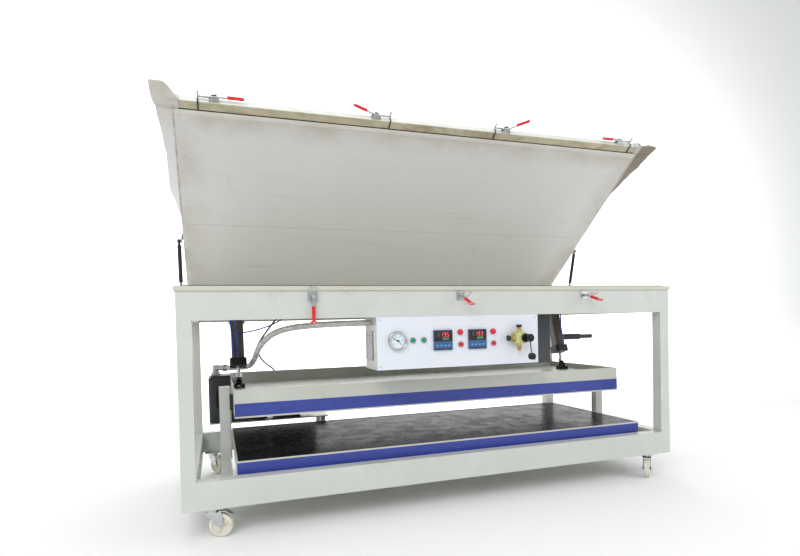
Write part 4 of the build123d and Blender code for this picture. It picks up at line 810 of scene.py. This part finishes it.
COLUMNS = 96
FLAP_STEPS = 12
EAR_STEPS = FLAP_STEPS + 4
FOLD_STEPS = 4
FOLD_HEIGHT = 0.040
WRAP_STEPS = 5
WRAP_HEIGHT = 0.0445
WRAP_WIDTH = 0.0082
WRAP_COLUMNS = 7
sheet = bmesh.new()
reaches = [MEMBRANE_BACK + 1.222 * i / 46 for i in range(47)]
reaches += [1.2462, 1.2468, 1.248, 1.250, 1.254, 1.2585, 1.263, 1.2675, 1.272, 1.276, 1.278, 1.2790]
reaches.append(MEMBRANE_FRONT)
sides = [-MEMBRANE_HALF + 2 * MEMBRANE_HALF * i / COLUMNS for i in range(COLUMNS + 1)]

# The sheet under the lid: nearly flat, calm over the seal, and turned in at the clamp bar
grid = []
for r in reaches:
    row = []
    turned_in = 0.0030 * max(0.0, (r - 1.2760) / 0.0035) ** 2
    for x in sides:
        calm = max(0.0, min(1.0, (1.20 - abs(x)) / 0.12, (r - 0.10) / 0.12, (1.19 - r) / 0.08))
        wave = calm * (0.0011 * noise.noise(Vector((x * 2.2, r * 2.8, 3.0))) - 0.0003)
        level = MEMBRANE_LEVEL + turned_in + min(wave, 0.0002)
        row.append(sheet.verts.new(lid_point(x, r, level)))
    grid.append(row)
join_rows(sheet, grid)

# Its front edge stands up behind the clamp bar
fold = [grid[-1]]
for k in range(1, FOLD_STEPS + 1):
    h = MEMBRANE_LEVEL + FOLD_HEIGHT * k / FOLD_STEPS
    fold.append([sheet.verts.new(lid_point(x, MEMBRANE_FRONT, h)) for x in sides])
join_rows(sheet, fold)

for turned in (-1, 1):
    rows = []
    for number, r in enumerate(reaches):
        width, angle = eased(FLAPS[turned], r)
        steady = held((r - 0.62) / 0.2)
        row = [grid[number][0 if turned < 0 else -1]]
        for k in range(1, FLAP_STEPS + 1):
            out = k / FLAP_STEPS
            x = MEMBRANE_HALF + width * out * cos(radians(angle))
            h = MEMBRANE_LEVEL + width * out * sin(radians(angle)) + crease(turned, r, x) * steady
            row.append(sheet.verts.new(lid_point(turned * x, r, h)))
        rows.append(row)
    join_rows(sheet, rows)

    # The corner beyond the front lies under the clamp bar's end and stands out past it
    last = rows[-1]
    rows = []
    for r, inner, outer, drop in EARS[turned]:
        row = []
        for k in range(EAR_STEPS + 1):
            share = k / EAR_STEPS
            x = inner + (outer - inner) * share
            h = WRAP_LEVEL - drop * share + crease(turned, r, x)
            row.append(sheet.verts.new(lid_point(turned * x, r, min(h, WRAP_LEVEL) if x < 1.314 else h)))
        rows.append(row)
    join_rows(sheet, rows)
    join_rows(sheet, (last, rows[0][EAR_STEPS - FLAP_STEPS :]))

    # The turned-up cloth over the front of the bar's end
    first = next(row for row, line in zip(rows, EARS[turned]) if line[0] > BAR_FRONT - 0.004)
    turned_up = [first[:WRAP_COLUMNS]]
    for k in range(1, WRAP_STEPS + 1):
        row = []
        for i in range(WRAP_COLUMNS):
            x = EAR_INNER + WRAP_WIDTH * i
            bulge = 0.0012 * noise.noise(Vector((x * 60.0, k * 0.9, turned * 2.0)))
            reach_out = BAR_FRONT + MEMBRANE_THICKNESS + abs(bulge)
            level = WRAP_LEVEL + WRAP_HEIGHT * k / WRAP_STEPS
            row.append(sheet.verts.new(lid_point(turned * x, reach_out, level)))
        turned_up.append(row)
    join_rows(sheet, turned_up)
membrane = from_bmesh("membrane_sheet", sheet, "silicone", "lid", smooth=True)
thick = membrane.modifiers.new("thickness", "SOLIDIFY")
thick.thickness = MEMBRANE_THICKNESS
thick.offset = 0.0
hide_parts("membrane")


# Red vinyl grips on the clamp and latch handles
GRIP_START = 0.044
GRIP_RADIUS = 0.0079
GRIP_LENGTH = 0.0765
CROSS_GRIP_LENGTH = 0.0735
CROSS_PLACE = 0.1155
CROSS_LENGTH = 0.034


def grip(name, pivot, along, across, cross_length, body):
    """A dipped grip: a sleeve with a rounded end and a flared mouth, with a cross bar on the latches."""
    along, across = Vector(along).normalized(), Vector(across).normalized()
    made = bmesh.new()
    start = Vector(pivot) + along * GRIP_START
    profile = [(0.0, 0.0062), (0.0, 0.0082), (0.002, 0.0086), (0.006, 0.0082)]
    profile += [(0.020, GRIP_RADIUS), (0.064, GRIP_RADIUS)]
    end = CROSS_GRIP_LENGTH if cross_length else GRIP_LENGTH
    for k in range(7):
        turn = k / 6 * pi / 2
        radius = GRIP_RADIUS * cos(turn) if k < 6 else 0.0
        profile.append((end - GRIP_RADIUS + GRIP_RADIUS * sin(turn), radius))
    add_turned(made, start, along, profile, 28)
    if cross_length:
        middle = Vector(pivot) + along * CROSS_PLACE
        half = cross_length / 2
        bar = [(-half - 0.0004, 0.0)]
        for k in range(1, 6):
            turn = k / 5 * pi / 2
            bar.append((-half + 0.0066 - 0.0066 * cos(turn), 0.0068 * sin(turn)))
        bar += [(-t, r) for t, r in reversed(bar)]
        add_turned(made, middle, across, bar, 24, closed=False)
    return from_bmesh(name, made, "red_grip", body, smooth=True)


for number, (x, turn, lifted) in enumerate(LID_CLAMPS):
    pivot = lid_point(x + turn * CLAMP_PIVOT, BAR_FRONT + CLAMP_RISE, BAR_LOW + 0.020)
    along = RIGHT * turn * cos(radians(lifted)) - LID_BACK * sin(radians(lifted))
    grip(f"lid_grip_{number + 1}", pivot, along, LID_UP, 0.0, f"lid_clamp_handle_{number + 1}")
for name, x in SIDE_CLAMPS:
    pivot = lid_point(x, SIDE_CLAMP_REACH, LID_TOP + CLAMP_RISE) + LID_BACK * CLAMP_PIVOT
    grip(f"side_grip_{name}", pivot, LID_BACK, RIGHT, 0.0, f"side_clamp_handle_{name}")
for name, x, lifted in LATCHES:
    along = (0, -sin(radians(lifted)), -cos(radians(lifted)))
    grip(f"latch_grip_{name}", (x, *LATCH_PIVOT), along, RIGHT, CROSS_LENGTH, f"latch_handle_{name}")


# Digits of the controllers: seven bars each, lit in red and pale green, and one that is unlit but has a
# faint painted glow
SEGMENTS = {"0": "abcdef", "1": "bc", "2": "abged", "3": "abgcd", "5": "afgcd", "9": "abcdfg"}
ALL_SEGMENTS = "abcdefg"
DIGIT_DEPTH = 0.0004
DIGIT_SLANT = 0.08
DIGIT_FACE = CONTROLLER_FACE + 0.002 - 0.0006
LARGE_DIGIT = 0.019
SMALL_DIGIT = 0.0095


def add_digit(mesh_data, x, z, height, lit):
    """One seven-bar figure facing the front, with slanted bar ends."""
    w, h, t = height * 0.46, height, height * 0.11
    bars = {
        "a": ((0, h / 2), (1, 0)),
        "g": ((0, 0), (1, 0)),
        "d": ((0, -h / 2), (1, 0)),
        "b": ((w / 2, h / 4), (0, 1)),
        "c": ((w / 2, -h / 4), (0, 1)),
        "f": ((-w / 2, h / 4), (0, 1)),
        "e": ((-w / 2, -h / 4), (0, 1)),
    }
    for bar, ((bar_x, bar_z), (dx, dz)) in bars.items():
        if bar not in lit:
            continue
        half = (w if dx else h / 2) / 2 - t * 0.15
        outline = [(half, 0), (half - t / 2, t / 2), (-half + t / 2, t / 2)]
        outline += [(-a, -b) for a, b in outline]
        corners = []
        for a, b in outline:
            px, pz = bar_x + a * dx - b * dz, bar_z + a * dz + b * dx
            corners.append(Vector((x + px + pz * DIGIT_SLANT, DIGIT_FACE, z + pz)))
        front = [mesh_data.verts.new(c) for c in corners]
        back = [mesh_data.verts.new(c + Vector((0, DIGIT_DEPTH, 0))) for c in corners]
        mesh_data.faces.new(front)
        mesh_data.faces.new(back[::-1])
        for i in range(6):
            j = (i + 1) % 6
            mesh_data.faces.new((front[i], back[i], back[j], front[j]))


for number, (place, shown, wanted) in enumerate(CONTROLLERS):
    x = BOX_LEFT + place
    z = BOX_TOP - CONTROLLER_DROP
    dim, red, green = bmesh.new(), bmesh.new(), bmesh.new()
    add_digit(dim, x - 0.024, z + 0.026, LARGE_DIGIT, ALL_SEGMENTS)
    for k, figure in enumerate(shown):
        add_digit(red, x - 0.008 + 0.016 * k, z + 0.026, LARGE_DIGIT, SEGMENTS[figure])
    for k, figure in enumerate("0" + wanted):
        add_digit(green, x + 0.001 + 0.0085 * k, z + 0.006, SMALL_DIGIT, SEGMENTS[figure])
    from_bmesh(f"unlit_{number + 1}", dim, "digit_unlit_glow", "frame")
    from_bmesh(f"reading_{number + 1}", red, "digit_red", "frame")
    from_bmesh(f"target_{number + 1}", green, "digit_green", "frame")
    marks = bmesh.new()
    for k in range(4):
        spot = (x - 0.030 + 0.020 * k, PANEL - 0.0113, z - 0.026)
        add_block(marks, spot, (0.006, 0.0004, 0.0028), 0.0001)
    from_bmesh(f"key_marks_{number + 1}", marks, "key_light", "frame")

# Gauge: a white dial with its scale, a chrome lip and the needle's hub
SCALE_MARKS = 50
SCALE_START = 225
SCALE_SWEEP = 270
SCALE_RADIUS = 0.0335
FIGURE_RADIUS = 0.0205
INK_LEVEL = 0.0087
FIGURES = ("0", "20", "40", "60", "80", "100")
dial = bmesh.new()
profile = [(0.0, 0.0), (0.0, 0.0375), (0.0005, 0.0372), (0.0005, 0.0)]
add_turned(dial, GAUGE + Vector((0, -0.008, 0)), OUT, profile, 64, closed=False)
look = Look("dial_white")
look.bump(look.noise(600.0, 2.0), 0.02, 0.0002)
looks["dial_white"] = look.finish(look.tones(srgb("DDE9EE"), 0.02, 20.0), 0.35)
from_bmesh("gauge_dial", dial, "dial_white", "frame")
scale = bmesh.new()
for k in range(SCALE_MARKS + 1):
    turn = radians(SCALE_START - SCALE_SWEEP * k / SCALE_MARKS)
    long = 0.0075 if k % 10 == 0 else 0.0055 if k % 5 == 0 else 0.0035
    wide = 0.0009 if k % 10 == 0 else 0.0005
    outward = Vector((cos(turn), 0, sin(turn)))
    middle = GAUGE + outward * (SCALE_RADIUS - long / 2) + Vector((0, -INK_LEVEL, 0))
    inward = Vector((0, 1, 0))
    matrix = Matrix((outward, inward, outward.cross(inward))).transposed()
    add_block(scale, middle, (long, 0.0003, wide), 0.0, matrix)
from_bmesh("gauge_scale", scale, "dial_ink", "frame")
for k, figure in enumerate(FIGURES):
    turn = radians(SCALE_START - SCALE_SWEEP * k / (len(FIGURES) - 1))
    text = bpy.data.curves.new(f"figure_{figure}", "FONT")
    text.body = figure
    text.size = 0.0072
    text.align_x = "CENTER"
    text.align_y = "CENTER"
    text.extrude = 0.00015
    place = GAUGE + Vector((cos(turn) * FIGURE_RADIUS, -INK_LEVEL, sin(turn) * FIGURE_RADIUS))
    made = bpy.data.objects.new(f"figure_{figure}", text)
    bpy.context.scene.collection.objects.link(made)
    made.matrix_world = Matrix.Translation(place) @ Matrix.Rotation(radians(90), 4, "X")
    text.materials.append(looks["dial_ink"])
    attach(made, "frame")
hub = bmesh.new()
profile = [(0.0026, 0.0), (0.0026, 0.0048), (0.0042, 0.0044), (0.0048, 0.0)]
add_turned(hub, GAUGE + Vector((0, -0.0085, 0)), OUT, profile, 32, closed=False)
from_bmesh("gauge_hub", hub, "needle_black", "gauge_needle", smooth=True)
lip = bmesh.new()
profile = [(0.0, 0.0450), (0.0, 0.0462), (0.010, 0.0462), (0.0148, 0.0454), (0.0164, 0.0438)]
profile += [(0.0168, 0.0418), (0.0160, 0.0396), (0.0130, 0.0378), (0.0085, 0.0376), (0.0085, 0.0450)]
add_turned(lip, GAUGE, OUT, profile, 72, closed=False)
from_bmesh("gauge_lip", lip, "chrome", "frame", smooth=True)

# Indicator lamps: domed red lenses over the panel's lamp bodies
for number, (x, z) in enumerate(LAMPS):
    lens = bmesh.new()
    profile = [(0.0, 0.0), (0.0, 0.0145), (0.0025, 0.0145), (0.003, 0.0142)]
    turns = [k / 8 * pi / 2 for k in range(1, 8)]
    profile += [(0.003 + 0.0105 * sin(t), 0.0140 * cos(t)) for t in turns]
    profile.append((0.0135, 0.0))
    spot = (BOX_LEFT + x, PANEL - 0.0058, BOX_TOP - z)
    add_turned(lens, spot, OUT, profile, 40, closed=False)
    from_bmesh(f"lamp_{number + 1}", lens, "red_plastic", "frame", smooth=True)

# Panel screws with a sunk middle
for number, (dx, dz) in enumerate(((-1, -1), (1, -1), (-1, 1), (1, 1))):
    screw = bmesh.new()
    x = BOX_LEFT + PANEL_MIDDLE[0] + dx * SCREWS_APART[0]
    z = BOX_TOP - PANEL_MIDDLE[1] + dz * SCREWS_APART[1]
    profile = [(0.0, 0.0044), (0.0008, 0.0044), (0.0018, 0.0038), (0.0024, 0.0026), (0.0024, 0.0016)]
    profile.append((0.0014, 0.0))
    add_turned(screw, Vector((x, PANEL, z)), OUT, profile, 24, closed=True)
    from_bmesh(f"panel_screw_{number + 1}", screw, "zinc", "frame", smooth=True)


# Valve: lobed knobs on its two stubs
KNOB_RADIUS = 0.0155
KNOB_DEPTH = 0.013
KNOB_SIDES = 48
KNOB_LOBES = 6


def lobed(name, centre, axis, body):
    """A round knob with shallow lobes and softened edges."""
    made = bmesh.new()
    axis, across, other = directions(axis)
    turns = [2 * pi * i / KNOB_SIDES for i in range(KNOB_SIDES)]
    rings = []
    shares = ((0.0, 0.80), (0.0015, 0.95), (KNOB_DEPTH * 0.5, 1.0), (KNOB_DEPTH - 0.0015, 0.95))
    for distance, share in (*shares, (KNOB_DEPTH, 0.78)):
        radii = [KNOB_RADIUS * share * (1 - 0.10 * (0.5 + 0.5 * cos(KNOB_LOBES * turn))) for turn in turns]
        rings.append(add_ring(made, Vector(centre) + axis * distance, across, other, radii))
    join_rows(made, rings, rings=True)
    made.faces.new(rings[0])
    made.faces.new(rings[-1])
    return from_bmesh(name, made, "black_plastic", body, smooth=True)


lobed("valve_knob_top", VALVE_MIDDLE + Vector((0, 0, VALVE_STUB)), UP, "frame")
lobed("valve_knob_left", VALVE_MIDDLE + Vector((-VALVE_STUB, 0, 0)), (-1, 0, 0), "frame")

# Small hex bolts along the raised platen's tray, front and back
BOLTS = 12
BOLTS_HALF = 1.02
BOLT_INSET = 0.026
BOLT_PROFILE = [(0.0, 0.0095), (0.0012, 0.0095), (0.0012, 0.0072), (0.0055, 0.0072), (0.0062, 0.0060)]
bolts = bmesh.new()
for k in range(BOLTS):
    x = PLATEN_X - BOLTS_HALF + 2 * BOLTS_HALF * k / (BOLTS - 1)
    for y in (UPPER_FRONT + BOLT_INSET, UPPER_BACK - BOLT_INSET):
        add_turned(bolts, (x, y, TRAY_LEVEL), UP, BOLT_PROFILE, 6)
from_bmesh("tray_bolts", bolts, "zinc", "raised_platen")

# A louvred vent on the control box's left side
VENT = Vector((BOX_LEFT - 0.0015, -0.4425, 0.796))
VENT_WIDTH = 0.108
VENT_EDGE = 0.0008
vent = bmesh.new()
for dy in (-0.056, 0.056):
    add_block(vent, VENT + Vector((0, dy, 0)), (0.003, 0.008, 0.144), VENT_EDGE)
for dz in (-0.068, 0.068):
    add_block(vent, VENT + Vector((0, 0, dz)), (0.003, VENT_WIDTH, 0.008), VENT_EDGE)
add_block(vent, VENT + Vector((0.001, 0, 0)), (0.001, VENT_WIDTH, 0.130), 0.0)
for k in range(11):
    louvre = VENT + Vector((0, 0, -0.055 + 0.011 * k))
    add_block(vent, louvre, (0.0026, VENT_WIDTH, 0.0075), VENT_EDGE)
from_bmesh("side_vent", vent, "black_plastic", "frame")

# Floor and backdrop: a level floor that curves up into a wall
FLOOR = -0.0006
FLOOR_END = 5.0
BEND = 2.0
profile = [(-9.0, FLOOR), (FLOOR_END, FLOOR)]
turns = [k / 10 * pi / 2 for k in range(1, 11)]
profile += [(FLOOR_END + BEND * sin(t), BEND + FLOOR - BEND * cos(t)) for t in turns]
profile.append((FLOOR_END + BEND, 9.0))
stage = bmesh.new()
join_rows(stage, [[stage.verts.new((x, y, z)) for x in (-14.0, 14.0)] for y, z in profile])
mesh = bpy.data.meshes.new("studio")
stage.to_mesh(mesh)
stage.free()
mesh.shade_smooth()
studio = bpy.data.objects.new("studio", mesh)
bpy.context.scene.collection.objects.link(studio)
look = Look("studio_white")
looks["studio_white"] = look.finish(look.tones(srgb("F7F7F6"), 0.01, 0.5), 0.85, spread=0.02)
mesh.materials.append(looks["studio_white"])

# Light: a pale sky, a large soft light high at the front left, weaker ones at the right and above, and one
# for the backdrop
world = bpy.context.scene.world or bpy.data.worlds.new("studio")
bpy.context.scene.world = world
world.use_nodes = True
sky = world.node_tree.nodes["Background"]
sky.inputs["Color"].default_value = (0.95, 0.97, 1.0, 1.0)
sky.inputs["Strength"].default_value = 0.64


def soft_light(name, place, target, size, power):
    data = bpy.data.lights.new(name, "AREA")
    data.shape = "RECTANGLE"
    data.size, data.size_y = size
    data.energy = power
    made = bpy.data.objects.new(name, data)
    bpy.context.scene.collection.objects.link(made)
    made.location = place
    made.rotation_euler = (Vector(target) - Vector(place)).to_track_quat("-Z", "Y").to_euler()


soft_light("key", (-3.2, -4.6, 4.2), (0, 0, 0.8), (4.0, 3.0), 155)
soft_light("fill", (4.2, -3.6, 2.4), (0.2, 0, 0.7), (3.0, 3.0), 52)
soft_light("top", (0.0, 0.6, 5.2), (0, 0.2, 0.8), (5.0, 3.0), 76)
soft_light("backdrop", (2.6, 2.2, 3.4), (2.6, 7.0, 1.8), (13.0, 1.5), 760)
bpy.context.scene.view_settings.view_transform = "Standard"
